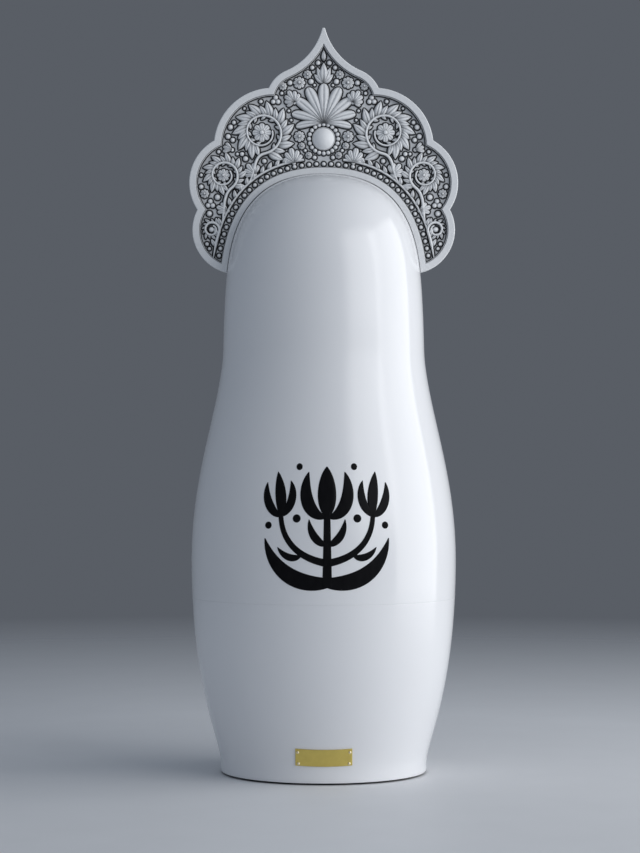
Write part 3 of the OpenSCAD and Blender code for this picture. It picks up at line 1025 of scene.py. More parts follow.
@dataclass(frozen=True)
class HeaddressShape:
    """The scalloped outline that stands on the head, in millimetres on the board's face.

    Rises are from the brow, and insets are from the brow's radius.
    """

    body: TurnedBody
    board_t: float = 10.0
    field_depth: float = 3.0
    border_w: float = 4.6
    arch_w: float = 3.9
    seat_gap: float = 0.15
    low_inset: float = 5.4
    low_rise: float = 26.6
    low_r: float = 25.8
    middle_inset: float = 6.6
    middle_rise: float = 54.8
    middle_r: float = 28.9
    high_x: float = 30.3
    high_rise: float = 76.2
    high_r: float = 35.4
    shoulder_x: float = 14.5
    shoulder_rise: float = 103.5
    shoulder_r: float = 20.0
    spire_x: float = 37.5
    spire_rise: float = 147.5
    spire_centre_rise: float = 9.1
    tip_half_w: float = 0.04
    arc_steps: int = 26
    arch_steps: int = 90

    @property
    def lobes(self) -> list[Lobe]:
        """Places the round parts of the outline.

        Returns:
            The low, middle and high lobes and the shoulder.
        """
        brow_r, brow_z = self.body.brow_r, self.body.brow_z
        return [
            Lobe(brow_r - self.low_inset, brow_z + self.low_rise, self.low_r),
            Lobe(brow_r - self.middle_inset, brow_z + self.middle_rise, self.middle_r),
            Lobe(self.high_x, brow_z + self.high_rise, self.high_r),
            Lobe(self.shoulder_x, brow_z + self.shoulder_rise, self.shoulder_r),
        ]

    @property
    def tip_z(self) -> float:
        """Height of the spire's tip."""
        return self.body.brow_z + self.spire_rise

    @property
    def hollow(self) -> Lobe:
        """Places the circle that hollows the spire's side and runs on smoothly from the shoulder.

        Returns:
            The circle, as a lobe.
        """
        shoulder = self.lobes[-1]
        z = self.tip_z + self.spire_centre_rise
        reach = math.hypot(self.spire_x - shoulder.x, z - shoulder.z)
        return Lobe(self.spire_x, z, reach - shoulder.r)

    @property
    def front(self) -> float:
        """Y of the board's face."""
        return -self.board_t / 2

    @property
    def field_y(self) -> float:
        """Y of the sunk field."""
        return self.front + self.field_depth

    def arch(self, gap: float) -> np.ndarray:
        """The head's side moved out by a gap, from the neck up to the middle."""
        return moved_out(self.body.head_side(), gap)

    def _arch_part(self, corner_z: float, gap: float) -> np.ndarray:
        """Draws the arch from a height up to the middle.

        Args:
            corner_z: Height at which it starts.
            gap: Distance outside the head.

        Returns:
            Evenly spaced points.
        """
        line = self.arch(gap)
        corner = np.array([[reach_at(line, corner_z), corner_z]])
        return evenly(np.concatenate([corner, line[line[:, 1] > corner_z + 1e-6]]), self.arch_steps + 1)

    def _corner_z(self, inset: float, gap: float) -> float:
        """Finds the height of the bottom corner, where the low lobe meets the arch.

        Args:
            inset: Distance inside the outer edge.
            gap: Distance outside the head.

        Returns:
            The height.
        """
        low, line = self.lobes[0], self.arch(gap)
        apart = np.hypot(line[:, 0] - low.x, line[:, 1] - low.z) - (low.r - inset)
        first = int(np.argmax(apart < 0.0))
        share = apart[first - 1] / (apart[first - 1] - apart[first])
        return float(line[first - 1, 1] + share * (line[first, 1] - line[first - 1, 1]))

    def _side(self, inset: float, corner: np.ndarray) -> np.ndarray:
        """Draws the right-hand side from the bottom corner up to the tip.

        Args:
            inset: Distance inside the outer edge.
            corner: The bottom corner.

        Returns:
            The points.
        """
        lobes, hollow = self.lobes, self.hollow
        shoulder = lobes[-1]
        towards = hollow.centre - shoulder.centre
        towards /= np.linalg.norm(towards)
        joins = [corner] + [a.crossing(b, inset) for a, b in zip(lobes, lobes[1:])]
        joins.append(shoulder.centre + (shoulder.r - inset) * towards)
        parts = [lobe.arc(a, b, inset, self.arc_steps) for lobe, a, b in zip(lobes, joins, joins[1:])]
        reach = hollow.r + inset
        drop = math.sqrt(max(reach**2 - hollow.x**2, 0.0))
        top = min(self.tip_z - inset, hollow.z - drop)
        first = math.atan2(joins[-1][1] - hollow.z, joins[-1][0] - hollow.x) + math.tau
        last = math.pi + math.asin((hollow.z - top) / reach)
        turn = np.linspace(first, last, self.arc_steps + 1)
        spire = hollow.centre + reach * np.stack([np.cos(turn), np.sin(turn)], -1)
        spire[:, 0] = np.maximum(spire[:, 0], self.tip_half_w)
        return np.concatenate([*parts, spire])

    def loop(self, inset: float, gap: float) -> np.ndarray:
        """Draws the closed outline.

        Args:
            inset: Distance inside the outer edge.
            gap: Distance outside the head.

        Returns:
            Points up the right side, down the left side and back over the head.
        """
        arch = self._arch_part(self._corner_z(inset, gap), gap)
        side = self._side(inset, arch[0])
        mirror = np.array([-1.0, 1.0])
        return np.concatenate([side, side[::-1] * mirror, arch[1:] * mirror, arch[-2:0:-1]])


@dataclass(frozen=True)
class HeaddressBoard:
    """The flat board with its round-edged border, stepped lip and sunk field.

    Its edge along the round head lies nearer the head at both faces than in the middle.
    """

    shape: HeaddressShape
    edge: float = 0.4
    edge_soft: float = 0.116
    edge_thin: float = 0.12
    hold: float = 0.24
    lip_w: float = 0.6
    lip_drop: float = 0.8
    lip_draft: float = 0.03
    arch_lip_w: float = 0.3
    arch_shelf_edge: float = 0.1
    ease: float = 0.2
    field_draft: float = 0.05
    field_brim: float = 0.8
    arch_brim: float = 0.6
    head_follow: float = 0.17
    # Depths of dark wash and painted shade: light on flat faces, deeper down the lip and shelf, near black at
    # the border's foot, and some on the sunk field
    flat_shade_wash: float = 0.05
    lip_shade_wash: Pair = (0.15, 0.75)
    shelf_shade_wash: Pair = (0.1, 0.3)
    foot_shade_wash: float = 1.0
    field_shade_wash: float = 0.14

    def _rows(self) -> list[tuple[float, float, float, float]]:
        """Lists the rows of points across the board, with held rows that keep its faces flat.

        Returns:
            Inset, gap outside the head, place in Y and depth of dark wash and painted shade of each row, from
            the back to the field.
        """
        s, edge, soft, thin, hold, ease = (
            self.shape, self.edge, self.edge_soft, self.edge_thin, self.hold, self.ease)
        front, back, flat = s.front, -s.front, self.flat_shade_wash
        near = s.seat_gap - self.head_follow
        lip, arch_lip = s.border_w - self.lip_w, s.arch_w - self.arch_lip_w
        step = front + self.lip_drop
        return [
            (edge + hold, near + thin + hold, back, flat),
            (edge, near + thin, back, flat),
            (soft, near, back - soft, flat),
            (0.0, near, back - edge, flat),
            (0.0, near, back - edge - hold, flat),
            (0.0, s.seat_gap, 0.0, flat),
            (0.0, near, front + edge + hold, flat),
            (0.0, near, front + edge, flat),
            # Painted highlight: the front edge's rounding has no wash or painted shade, so it takes the paler
            # colour of wear
            (soft, near, front + soft, 0.0),
            (edge, near + thin, front, flat),
            (edge + hold, near + thin + hold, front, flat),
            (lip - ease - hold, arch_lip - ease - hold, front, flat),
            (lip - ease, arch_lip - ease, front, flat),
            # Painted shade: darker down the lip and shelf into the field, near black at the border's foot
            (lip, arch_lip, front + ease, self.lip_shade_wash[0]),
            (lip + self.lip_draft, arch_lip + self.lip_draft, step, self.lip_shade_wash[1]),
            (s.border_w - ease, s.arch_w - self.arch_shelf_edge, step, self.shelf_shade_wash[0]),
            (s.border_w, s.arch_w, step + ease, self.shelf_shade_wash[1]),
            (s.border_w + self.field_draft, s.arch_w + self.field_draft, s.field_y, self.foot_shade_wash),
            (s.border_w + self.field_brim, s.arch_w + self.arch_brim, s.field_y, self.field_shade_wash),
        ]

    def build(self, finishes: Materials) -> None:
        """Builds the board and puts it on the outer upper half.

        Args:
            finishes: The materials by name.
        """
        draft = MeshDraft()
        rings = []
        for inset, gap, y, wash in self._rows():
            loop = self.shape.loop(inset, gap)
            rings.append(draft.add_points(np.insert(loop, 1, y, axis=1), wash))
        draft.add_quads(np.stack(rings), closed=True)
        draft.add_face(rings[0])
        draft.add_face(rings[-1])
        piece = draft.make("headdress_panel", [finishes["headdress_paint"]], crease=50.0)
        put(piece, "outer_upper", "headdress_paint", "headdress_board")


@dataclass(frozen=True)
class LeafForm:
    """Shape of a carved leaf, as shares of its size, and the dark wash and painted shade at its edges, heel
    and groove.
    """

    start: float = 0.06
    least_w: float = 0.03
    edge_h: float = 0.4
    groove_depth: float = 0.24
    groove_w: float = 0.17
    edge_shade_wash: float = 0.35
    heel_shade_wash: float = 0.55
    groove_shade_wash: float = 0.2
    groove_shade_wash_w: float = 0.15


@dataclass
class Relief:
    """Raised shapes on a surface: each is a patch with a foot and a thin brim, closed underneath, with dark
    wash and painted shade gathered at the foot and fading over the brim.
    """

    lay: Lay
    brim: float = 1.0
    brim_h: float = 0.015
    sink: float = 0.25
    foot_out: float = 0.06
    foot_h: float = 0.07
    foot_shade_wash: float = 1.0
    slope_share: float = 0.45
    slope_h: float = 0.05
    slope_shade_wash: float = 0.8
    field_shade_wash: float = 0.14
    fine_from: float = 5.0
    form: LeafForm = LeafForm()
    draft: MeshDraft = field(default_factory=MeshDraft)

    def patch(self, top: np.ndarray, wash: Any = 0.0) -> None:
        """Adds a raised patch.

        Args:
            top: Grid of places across, places up and heights of its upper side.
            wash: Depth of the dark wash and painted shade on the upper side.
        """
        numbers = self.draft.add_points(self.lay(top), wash)
        self.draft.add_quads(numbers)
        self._skirt(rim(numbers), rim(top)[:, :2])

    def _skirt(self, top_ring: np.ndarray, edge: np.ndarray) -> None:
        """Closes a patch from its upper ring down to the surface, out along a brim and under.

        Args:
            top_ring: Numbers of the upper ring's points.
            edge: Their places across and up.
        """
        along = np.roll(edge, -1, axis=0) - np.roll(edge, 1, axis=0)
        along /= np.maximum(np.linalg.norm(along, axis=1), 1e-9)[:, None]
        out = np.stack([along[:, 1], -along[:, 0]], -1)
        area = np.sum(edge[:, 0] * np.roll(edge[:, 1], -1) - edge[:, 1] * np.roll(edge[:, 0], -1))
        out *= 1.0 if area > 0 else -1.0
        # Painted shade, partly a dark wash: near black at the foot ring, fading down the brim's slope to the
        # field's level at the brim's end, a contact shadow round each shape
        levels = [
            (self.foot_out, self.foot_h, self.foot_shade_wash),
            (self.slope_share * self.brim, self.slope_h, self.slope_shade_wash * self.foot_shade_wash),
            (self.brim, self.brim_h, self.field_shade_wash),
            (self.brim, -self.sink, 0.0),
        ]
        rings = [top_ring]
        for reach, height, wash in levels:
            rings.append(self.draft.add_points(self.lay(with_height(edge + reach * out, height)), wash))
        self.draft.add_quads(np.stack(rings), closed=True)
        self.draft.add_face(rings[-1])

    def leaf(self, base: np.ndarray, heading: float, length: float, width: float, height: float,
             bend: float = 0.0, fullness: Pair = (0.6, 0.9)) -> None:
        """Adds a leaf with swelling halves and a groove down its middle.

        Args:
            base: Place of its heel.
            heading: Its direction in degrees.
            length: Its length.
            width: Its greatest width.
            height: Its height above the surface.
            bend: Sideways drift of its tip, as a share of its length.
            fullness: How fast it widens from the heel and narrows to the tip.
        """
        f = self.form
        heel, tip = fullness
        rows, columns = (12, 9) if length > self.fine_from else (9, 7)
        u = 0.5 - 0.5 * np.cos(np.linspace(f.start, 1.0, rows) * math.pi)
        v = np.linspace(-1.0, 1.0, columns)
        peak = (heel / (heel + tip)) ** heel * (tip / (heel + tip)) ** tip
        half = np.maximum(width / 2 * u**heel * (1.0 - u) ** tip / peak, f.least_w * width)
        lift = 0.5 + 0.5 * np.sin(math.pi * u**0.75)
        groove = f.groove_depth * np.exp(-((v / f.groove_w) ** 2))
        cross = f.edge_h + (1.0 - f.edge_h) * np.sqrt(1.0 - v**2) - groove
        along = length * u[:, None] + 0.0 * v
        aside = half[:, None] * v + bend * length * (u**2)[:, None]
        ahead = pointing(heading)
        x = base[0] + along * ahead[0] - aside * ahead[1]
        z = base[1] + along * ahead[1] + aside * ahead[0]
        # Painted shade, partly a dark wash: darker along the leaf's edges, at its heel and down its groove,
        # paler on its top
        edge_shade_wash = f.edge_shade_wash * np.abs(v) ** 5
        heel_shade_wash = f.heel_shade_wash * ((1.0 - u) ** 5)[:, None]
        wash = edge_shade_wash + heel_shade_wash + f.groove_shade_wash * np.exp(-((v / f.groove_shade_wash_w) ** 2))
        self.patch(np.stack([x, z, height * lift[:, None] * cross], -1), np.clip(wash, 0.0, 1.0))

    def stem(self, points: np.ndarray, width: float, height: float, taper: Pair = (1.0, 1.0)) -> None:
        """Adds a rounded stem along a row of points.

        Args:
            points: The points.
            width: Its full width.
            height: Its height above the surface.
            taper: Its widths at the two ends, as shares of the full width.
        """
        start_share, start_rate = 0.4, 12.0
        thin_h, edge_h, edge_shade_wash = 0.6, 0.35, 0.4
        run = np.linspace(0.0, 1.0, len(points))
        share = (taper[0] + (taper[1] - taper[0]) * run) * np.minimum(1.0, start_share + start_rate * run)
        v = np.linspace(-1.0, 1.0, 7)
        thickness = (thin_h + (1.0 - thin_h) * share)[:, None]
        rise = height * thickness * (edge_h + (1.0 - edge_h) * np.sqrt(1.0 - v**2))
        # Painted shade, partly a dark wash: darker along the stem's edges
        wash = edge_shade_wash * np.abs(v) ** 4 + 0.0 * rise
        self.patch(with_height(ribbon(points, width * share, v), rise), wash)

    def dome(self, centre: np.ndarray, profile: Sequence[Point], segments: int = 20) -> None:
        """Adds a round boss.

        Args:
            centre: Its place.
            profile: Radius, height and depth of dark wash and painted shade of each ring from the edge in to
                the last, which is filled.
            segments: Number of faces around.
        """
        round_about = spin(segments)
        rings = []
        for radius, height, wash in profile:
            points = with_height(centre + radius * round_about, height)
            rings.append(self.draft.add_points(self.lay(points), wash))
        self.draft.add_quads(np.stack(rings), closed=True)
        self.draft.add_face(rings[-1])
        self._skirt(rings[0], centre + profile[0][0] * round_about)

    def berry(self, centre: np.ndarray, radius: float) -> None:
        """Adds a half-round berry or bead.

        Args:
            centre: Its place.
            radius: Its radius.
        """
        # Painted shade, partly a dark wash: darker towards the berry's foot
        edge_shade_wash = 0.45
        tilt = np.radians(np.linspace(8.0, 84.0, 6))
        profile = [(radius * math.cos(t), radius * math.sin(t), edge_shade_wash * math.cos(t) ** 6) for t in tilt]
        self.dome(centre, profile)


@dataclass(frozen=True)
class Scroll:
    """One scroll of a vine, placed from a lobe's centre.

    Its stem leaves the vine near the root, on a curve whose handles have the pull's length.
    It winds in from the radius, beginning at the start's direction in degrees.
    """

    offset: Place
    radius: float
    start: float
    leaves: int
    root: Place
    pull: float


@dataclass(frozen=True)
class Fan:
    """A fan of leaves, placed from a lobe's centre, with its heading in degrees."""

    offset: Place
    heading: float
    length: float
    leaves: int = 5


@dataclass(frozen=True)
class CarvingSizes:
    """Sizes of the carving: millimetres, degrees, and shares of a leaf's, a scroll's or a flower's size."""

    gap: float = 0.4
    tip_room: float = 0.25
    middle_room: float = 8.0
    leaf_h: float = 2.6
    leaf_w: float = 0.5
    leaf_lean: float = 38.0
    round_tip: Pair = (1.2, 0.4)
    stem_w: float = 2.0
    stem_h: float = 2.0
    scroll_stem_h: float = 2.5
    bead_d: float = 2.6
    bead_pitch: float = 4.4
    bead_margin: float = 0.7
    bead_start_rise: float = 8.0
    berry_d: float = 3.0
    smallest_berry_r: float = 0.85
    cabochon_r: float = 7.0
    cabochon_h: float = 4.0
    cabochon_rise: float = 21.0
    ring_beads: int = 20
    vine_start_rise: float = 6.6
    vine_taper: Pair = (0.6, 0.8)
    vine_leaves: int = 14
    vine_span: Pair = (0.08, 0.92)
    vine_leaf_len: float = 5.2
    vine_leaf_lean: float = 42.0
    scroll_eye: float = 0.5
    scroll_sweep: float = 450.0
    scroll_leaf_sweep: float = 330.0
    scroll_taper: Pair = (1.0, 0.55)
    scroll_leaf_len: Pair = (0.78, 0.56)
    scroll_leaf_bend: float = -0.12
    inner_leaf_len: float = 0.3
    fan_spread: float = 32.0
    fan_shrink: float = 0.13
    fan_bend: float = 0.06
    fan_leaf_w: float = 0.4
    fan_berry_r: float = 1.2
    flower_r: float = 3.6
    smallest_flower_r: float = 1.9
    petals: int = 8
    palmette_len: float = 24.0
    palmette_pairs: int = 4
    palmette_spread: float = 21.0
    palmette_shrink: float = 0.02
    palmette_bend: float = 0.05
    palmette_leaf_w: float = 0.28
    bud_len: float = 0.5
    bud_w: float = 0.22
    tip_rise: float = 0.54
    tip_len: float = 0.28
    tip_w: float = 0.12
    tip_h: float = 2.0

    @property
    def bead_strip(self) -> float:
        """Width of the strip that the beads take beside the arch."""
        return self.bead_d + 2 * self.bead_margin


@dataclass
class HeaddressCarving:
    """The relief on the sunk field: vine scrolls on both sides, a palmette, a cabochon and rows of beads."""

    shape: HeaddressShape
    sizes: CarvingSizes = CarvingSizes()
    high_scroll: Scroll = Scroll(
        offset=(6.7, 8.8), radius=12.6, start=260.0, leaves=20, root=(47.0, 352.0), pull=9.0)
    middle_scroll: Scroll = Scroll(
        offset=(8.5, 4.7), radius=9.0, start=235.0, leaves=18, root=(60.0, 327.0), pull=8.0)
    low_scroll: Scroll = Scroll(
        offset=(14.4, 0.4), radius=4.8, start=200.0, leaves=12, root=(64.0, 312.0), pull=4.0)
    high_fan: Fan = Fan(offset=(-12.5, -9.5), heading=78.0, length=9.2)
    middle_fan: Fan = Fan(offset=(-10.5, 5.0), heading=52.0, length=8.0)
    low_fan: Fan = Fan(offset=(4.6, 11.6), heading=20.0, length=7.2, leaves=3)
    outer_fan: Fan = Fan(offset=(24.5, -1.5), heading=20.0, length=6.4, leaves=3)
    shoulder_fan: Fan = Fan(offset=(3.0, -0.5), heading=62.0, length=8.0, leaves=7)
    high_berries: Place = (-1.5, 28.2)
    middle_berries: Place = (16.4, -12.6)

    def __post_init__(self) -> None:
        """Works out the places that the carvings share."""
        s, c = self.shape, self.sizes
        self.arch_line = s.arch(s.arch_w + c.bead_strip + c.stem_w / 2 + c.gap / 2)
        self.head_line = s.body.head_side()
        self.cabochon_at = np.array([0.0, s.body.body_h + c.cabochon_rise])
        self.ring_r = c.cabochon_r + c.bead_d / 2 + c.gap
        self.middle: list[MeshDraft] = []

    def _relief(self, side: Side = Side.RIGHT) -> Relief:
        """Starts a relief on the field, drawn for the right-hand side and mirrored for the left.

        Args:
            side: The side that it is for.

        Returns:
            The empty relief.
        """
        field_y = self.shape.field_y

        def lay(points: np.ndarray) -> np.ndarray:
            """Stands places and heights on the field."""
            return np.stack([side.value * points[..., 0], field_y - points[..., 2], points[..., 1]], -1)

        return Relief(lay)

    @staticmethod
    def _put(draft: MeshDraft, name: str, node: str, finishes: Materials) -> None:
        """Makes a carved piece and puts it on the outer upper half in place of its node."""
        put(draft.make(name, [finishes["headdress_paint"]]), "outer_upper", "headdress_paint", node)

    def _room(self, point: np.ndarray) -> float:
        """Measures the distance from a point to the border or the beads.

        Args:
            point: A place on the right-hand side.

        Returns:
            The distance, negative past them.
        """
        s, c = self.shape, self.sizes
        inset = s.border_w + c.gap
        lobes, hollow = s.lobes, s.hollow
        high, shoulder = lobes[2], lobes[-1]
        open_room = max(lobe.r - inset - math.hypot(point[0] - lobe.x, point[1] - lobe.z) for lobe in lobes)
        if point[1] > shoulder.z and abs(point[0]) < shoulder.x + shoulder.r / 2:
            spire = math.hypot(abs(point[0]) - hollow.x, point[1] - hollow.z) - hollow.r - inset
            open_room = max(open_room, spire)
        if abs(point[0]) < high.x and point[1] < shoulder.z:
            open_room = max(open_room, c.middle_room)
        apart = np.hypot(self.head_line[:, 0] - abs(point[0]), self.head_line[:, 1] - point[1])
        return min(open_room, float(apart.min()) - s.arch_w - c.bead_strip)

    def _fitted(self, base: np.ndarray, heading: float, length: float) -> float:
        """Shortens a leaf until its tip is clear of the border and the beads.

        Args:
            base: Place of its heel.
            heading: Its direction in degrees.
            length: Its full length.

        Returns:
            The length that fits.
        """
        shortest, step = 1.0, 0.94
        ahead = pointing(heading)
        while length > shortest and self._room(base + length * ahead) < self.sizes.tip_room:
            length *= step
        return length

    def _leaf(self, relief: Relief, base: np.ndarray, heading: float, length: float, share: float,
              bend: float = 0.0, fullness: Pair = (0.6, 0.9)) -> None:
        """Adds a leaf that is shortened to fit the field, and none where there is no room.

        Args:
            relief: The relief to add to.
            base: Place of its heel.
            heading: Its direction in degrees.
            length: Its full length.
            share: Its width as a share of its length.
            bend: Sideways drift of its tip, as a share of its length.
            fullness: How fast it widens from the heel and narrows to the tip.
        """
        least_share, low_h, rise_by_length = 0.45, 0.55, 0.07
        fitted = self._fitted(base, heading, length)
        if fitted > least_share * length:
            height = self.sizes.leaf_h * min(1.0, low_h + rise_by_length * fitted)
            relief.leaf(base, heading, fitted, share * fitted, height, bend, fullness)

    def _fan(self, relief: Relief, lobe: Lobe, fan: Fan) -> None:
        """Adds a fan of leaves with the longest in the middle and a berry at the heel.

        Args:
            relief: The relief to add to.
            lobe: The lobe that it is placed from.
            fan: Its place and sizes.
        """
        c = self.sizes
        base = lobe.centre + fan.offset
        middle = (fan.leaves - 1) / 2
        for index in sorted(range(fan.leaves), key=lambda i: -abs(i - middle)):
            offset = index - middle
            size = fan.length * (1.0 - c.fan_shrink * abs(offset))
            heading = fan.heading + c.fan_spread * offset
            self._leaf(relief, base, heading, size, c.fan_leaf_w, -c.fan_bend * offset, c.round_tip)
        relief.berry(base, c.fan_berry_r)

    def _rosette(self, relief: Relief, centre: np.ndarray, radius: float, rings: int = 2) -> None:
        """Adds a flower of one or two rings of round petals about a button.

        Args:
            relief: The relief to add to.
            centre: Its place.
            radius: Its radius.
            rings: Number of rings.
        """
        c = self.sizes
        # Length and width as shares of the radius, and height of each ring's petals
        petal_rings = [(1.0, 0.62, 1.6), (0.64, 0.46, 2.2)]
        for ring, (share, width, height) in enumerate(petal_rings[:rings]):
            for index in range(c.petals):
                heading = 360.0 * (index + 0.5 * ring) / c.petals
                relief.leaf(centre, heading, radius * share, radius * width, height, 0.0, c.round_tip)
        # Radius as a share of the flower's, height and depth of dark wash and painted shade of each ring of
        # the button
        button = [(0.26, 2.1, 0.7), (0.24, 2.6, 0.2), (0.16, 2.95, 0.0), (0.06, 3.1, 0.0)]
        relief.dome(centre, [(radius * r, h, wash) for r, h, wash in button], segments=16)

    def _scroll(self, relief: Relief, lobe: Lobe, scroll: Scroll) -> None:
        """Adds a stem that leaves the vine and winds in clockwise to a rosette, with leaves on its outside.

        Args:
            relief: The relief to add to.
            lobe: The lobe that it is placed from.
            scroll: Its place and sizes.
        """
        c = self.sizes
        lead_steps, wind_points = 14, 72
        centre, radius = lobe.centre + scroll.offset, scroll.radius

        def angle(t: float) -> float:
            """Direction from the centre along the winding, in degrees."""
            return scroll.start - c.scroll_sweep * t

        def spot(t: float) -> np.ndarray:
            """Place along the winding."""
            return centre + radius * (1.0 - (1.0 - c.scroll_eye) * t) * pointing(angle(t))

        outward = pointing(scroll.start)
        arrival = np.array([outward[1], -outward[0]])
        nearest = int(np.argmin(np.hypot(*(self.arch_line - scroll.root).T)))
        leaving = self.arch_line[nearest + 1] - self.arch_line[nearest - 1]
        leaving /= np.linalg.norm(leaving)
        root, entry = self.arch_line[nearest], spot(0.0)
        lead = bezier(root, root + scroll.pull * leaving, entry - scroll.pull * arrival, entry, lead_steps)
        wind = np.array([spot(t) for t in np.linspace(0.0, 1.0, wind_points)])
        for index in range(scroll.leaves):
            t = (index + 0.5) / scroll.leaves * c.scroll_leaf_sweep / c.scroll_sweep
            size = radius * c.scroll_leaf_len[index % 2]
            self._leaf(relief, spot(t), angle(t) - c.leaf_lean, size, c.leaf_w, c.scroll_leaf_bend)
            if index % 2:
                heading = angle(t) + 180.0 + c.leaf_lean
                self._leaf(relief, spot(t), heading, radius * c.inner_leaf_len, c.leaf_w)
        relief.stem(np.concatenate([lead, wind[1:]]), c.stem_w, c.scroll_stem_h, c.scroll_taper)
        eye_r = radius * c.scroll_eye - c.stem_w / 3
        if eye_r > c.smallest_flower_r:
            self._rosette(relief, centre, eye_r)
        else:
            relief.berry(centre, eye_r)

    def _berries(self, relief: Relief, centre: np.ndarray) -> None:
        """Adds three berries that touch.

        Args:
            relief: The relief to add to.
            centre: The place between them.
        """
        apart = 0.56 * self.sizes.berry_d
        for heading in (90.0, 210.0, 330.0):
            relief.berry(centre + apart * pointing(heading), self.sizes.berry_d / 2)

    def _fill(self, relief: Relief, side: Side) -> None:
        """Fills the gaps of one side with small flowers and berries, the widest gap first.

        Args:
            relief: The side's relief.
            side: The side.
        """
        c = self.sizes
        first_x, pitch = 0.6, 0.7
        drafts = [relief.draft, *self.middle]
        points = [np.concatenate(draft.points) * [side.value, 1.0, 1.0] for draft in drafts]
        taken = np.concatenate(points)[:, [0, 2]]
        tree = KDTree(len(taken))
        for number, point in enumerate(taken):
            tree.insert((*point, 0.0), number)
        tree.balance()
        low = self.shape.lobes[0]
        across = np.arange(first_x, low.x + low.r, pitch)
        upward = np.arange(low.z - low.r, self.shape.tip_z, pitch)
        spots = np.stack(np.meshgrid(across, upward), -1).reshape(-1, 2)
        room = np.array([min(self._room(spot), spot[0]) for spot in spots])
        spots, room = spots[room > c.gap], room[room > c.gap]
        room = np.minimum(room, [tree.find((*spot, 0.0))[2] for spot in spots]) - c.gap
        while room.max() > c.smallest_berry_r:
            best = int(np.argmax(room))
            centre, radius = spots[best], min(float(room[best]), c.flower_r)
            if radius > c.smallest_flower_r:
                self._rosette(relief, centre, radius, rings=1)
            else:
                relief.berry(centre, radius)
            room = np.minimum(room, np.hypot(*(spots - centre).T) - radius - c.gap)

    def _vine(self, relief: Relief) -> np.ndarray:
        """Adds the stem of the vine along the beads.

        Args:
            relief: The side's relief.

        Returns:
            The stem's points.
        """
        c = self.sizes
        vine = self.arch_line[self.arch_line[:, 1] > self.shape.body.brow_z + c.vine_start_rise]
        vine = vine[vine[:, 0] > self.ring_r + c.bead_d]
        relief.stem(vine, c.stem_w, c.stem_h, c.vine_taper)
        return vine

    def _side(self, side: Side, finishes: Materials) -> None:
        """Builds one side's vine, scrolls, fans and small filling.

        Args:
            side: The side.
            finishes: The materials by name.
        """
        c = self.sizes
        low, middle, high = self.shape.lobes[:3]
        relief = self._relief(side)
        vine = self._vine(relief)
        scrolls = [(high, self.high_scroll), (middle, self.middle_scroll), (low, self.low_scroll)]
        for lobe, scroll in scrolls:
            self._scroll(relief, lobe, scroll)
        fans = [(high, self.high_fan), (middle, self.middle_fan), (low, self.low_fan), (high, self.outer_fan)]
        for lobe, fan in fans:
            self._fan(relief, lobe, fan)
        for place in np.linspace(*c.vine_span, c.vine_leaves):
            spot = int(place * (len(vine) - 2))
            along = vine[spot + 1] - vine[spot]
            heading = math.degrees(math.atan2(along[1], along[0])) - c.vine_leaf_lean
            self._leaf(relief, vine[spot], heading, c.vine_leaf_len, c.leaf_w)
        self._berries(relief, high.centre + self.high_berries)
        self._berries(relief, middle.centre + self.middle_berries)
        self._fill(relief, side)
        name = side.name.lower()
        self._put(relief.draft, f"{name}_scrollwork", f"{name}_carvings", finishes)

    def _palmette(self, finishes: Materials) -> None:
        """Builds the fan of leaves above the cabochon and the bud in the spire.

        Args:
            finishes: The materials by name.
        """
        c = self.sizes
        full = c.palmette_len
        base = self.cabochon_at + [0.0, self.ring_r + c.gap]
        bud = base + [0.0, full + c.gap]
        relief = self._relief()
        for index in sorted(range(-c.palmette_pairs, c.palmette_pairs + 1), key=lambda i: -abs(i)):
            length = full * (1.0 - c.palmette_shrink * index**2)
            heading, bend = 90.0 - c.palmette_spread * index, -c.palmette_bend * index
            relief.leaf(base, heading, length, c.palmette_leaf_w * length, c.leaf_h, bend, c.round_tip)
        # Lean, length and width as shares of the palmette's length, height and bend of the bud's side leaves
        bud_leaves = [(55.0, 0.32, 0.15, 1.8, 0.12), (28.0, 0.42, 0.16, 2.1, 0.08)]
        for hand in (-1, 1):
            for lean, length, width, height, bend in bud_leaves:
                relief.leaf(bud, 90.0 - lean * hand, full * length, full * width, height, bend * hand)
        relief.leaf(bud, 90.0, full * c.bud_len, full * c.bud_w, c.leaf_h)
        for side in Side:
            mirrored = self._relief(side)
            mirrored.draft = relief.draft
            self._fan(mirrored, self.shape.lobes[-1], self.shoulder_fan)
        relief.leaf(bud + [0.0, full * c.tip_rise], 90.0, full * c.tip_len, full * c.tip_w, c.tip_h)
        self.middle.append(relief.draft)
        self._put(relief.draft, "palmette_relief", "spire_palmette", finishes)

    def _cabochon(self, finishes: Materials) -> None:
        """Builds the centre dome in its collar, and the ring of beads about it.

        Args:
            finishes: The materials by name.
        """
        c = self.sizes
        boss, ring = self._relief(), self._relief()
        ball_r = (c.cabochon_r**2 + c.cabochon_h**2) / (2 * c.cabochon_h)
        # Radius as a share of the cabochon's, height and depth of dark wash and painted shade of each ring of
        # the collar
        collar = [(1.0, 0.3, 0.6), (0.985, 0.9, 0.2), (0.955, 1.05, 0.0), (0.925, 0.95, 0.5)]
        profile = [(c.cabochon_r * r, h, wash) for r, h, wash in collar]
        for radius in c.cabochon_r * np.linspace(0.9, 0.04, 12):
            profile.append((radius, c.cabochon_h - ball_r + math.sqrt(ball_r**2 - radius**2), 0.0))
        boss.dome(self.cabochon_at, profile, segments=64)
        for offset in self.ring_r * spin(c.ring_beads):
            ring.berry(self.cabochon_at + offset, c.bead_d / 2)
        self.middle += [boss.draft, ring.draft]
        self._put(boss.draft, "cabochon_boss", "centre_cabochon", finishes)
        self._put(ring.draft, "cabochon_pearls", "cabochon_beads", finishes)

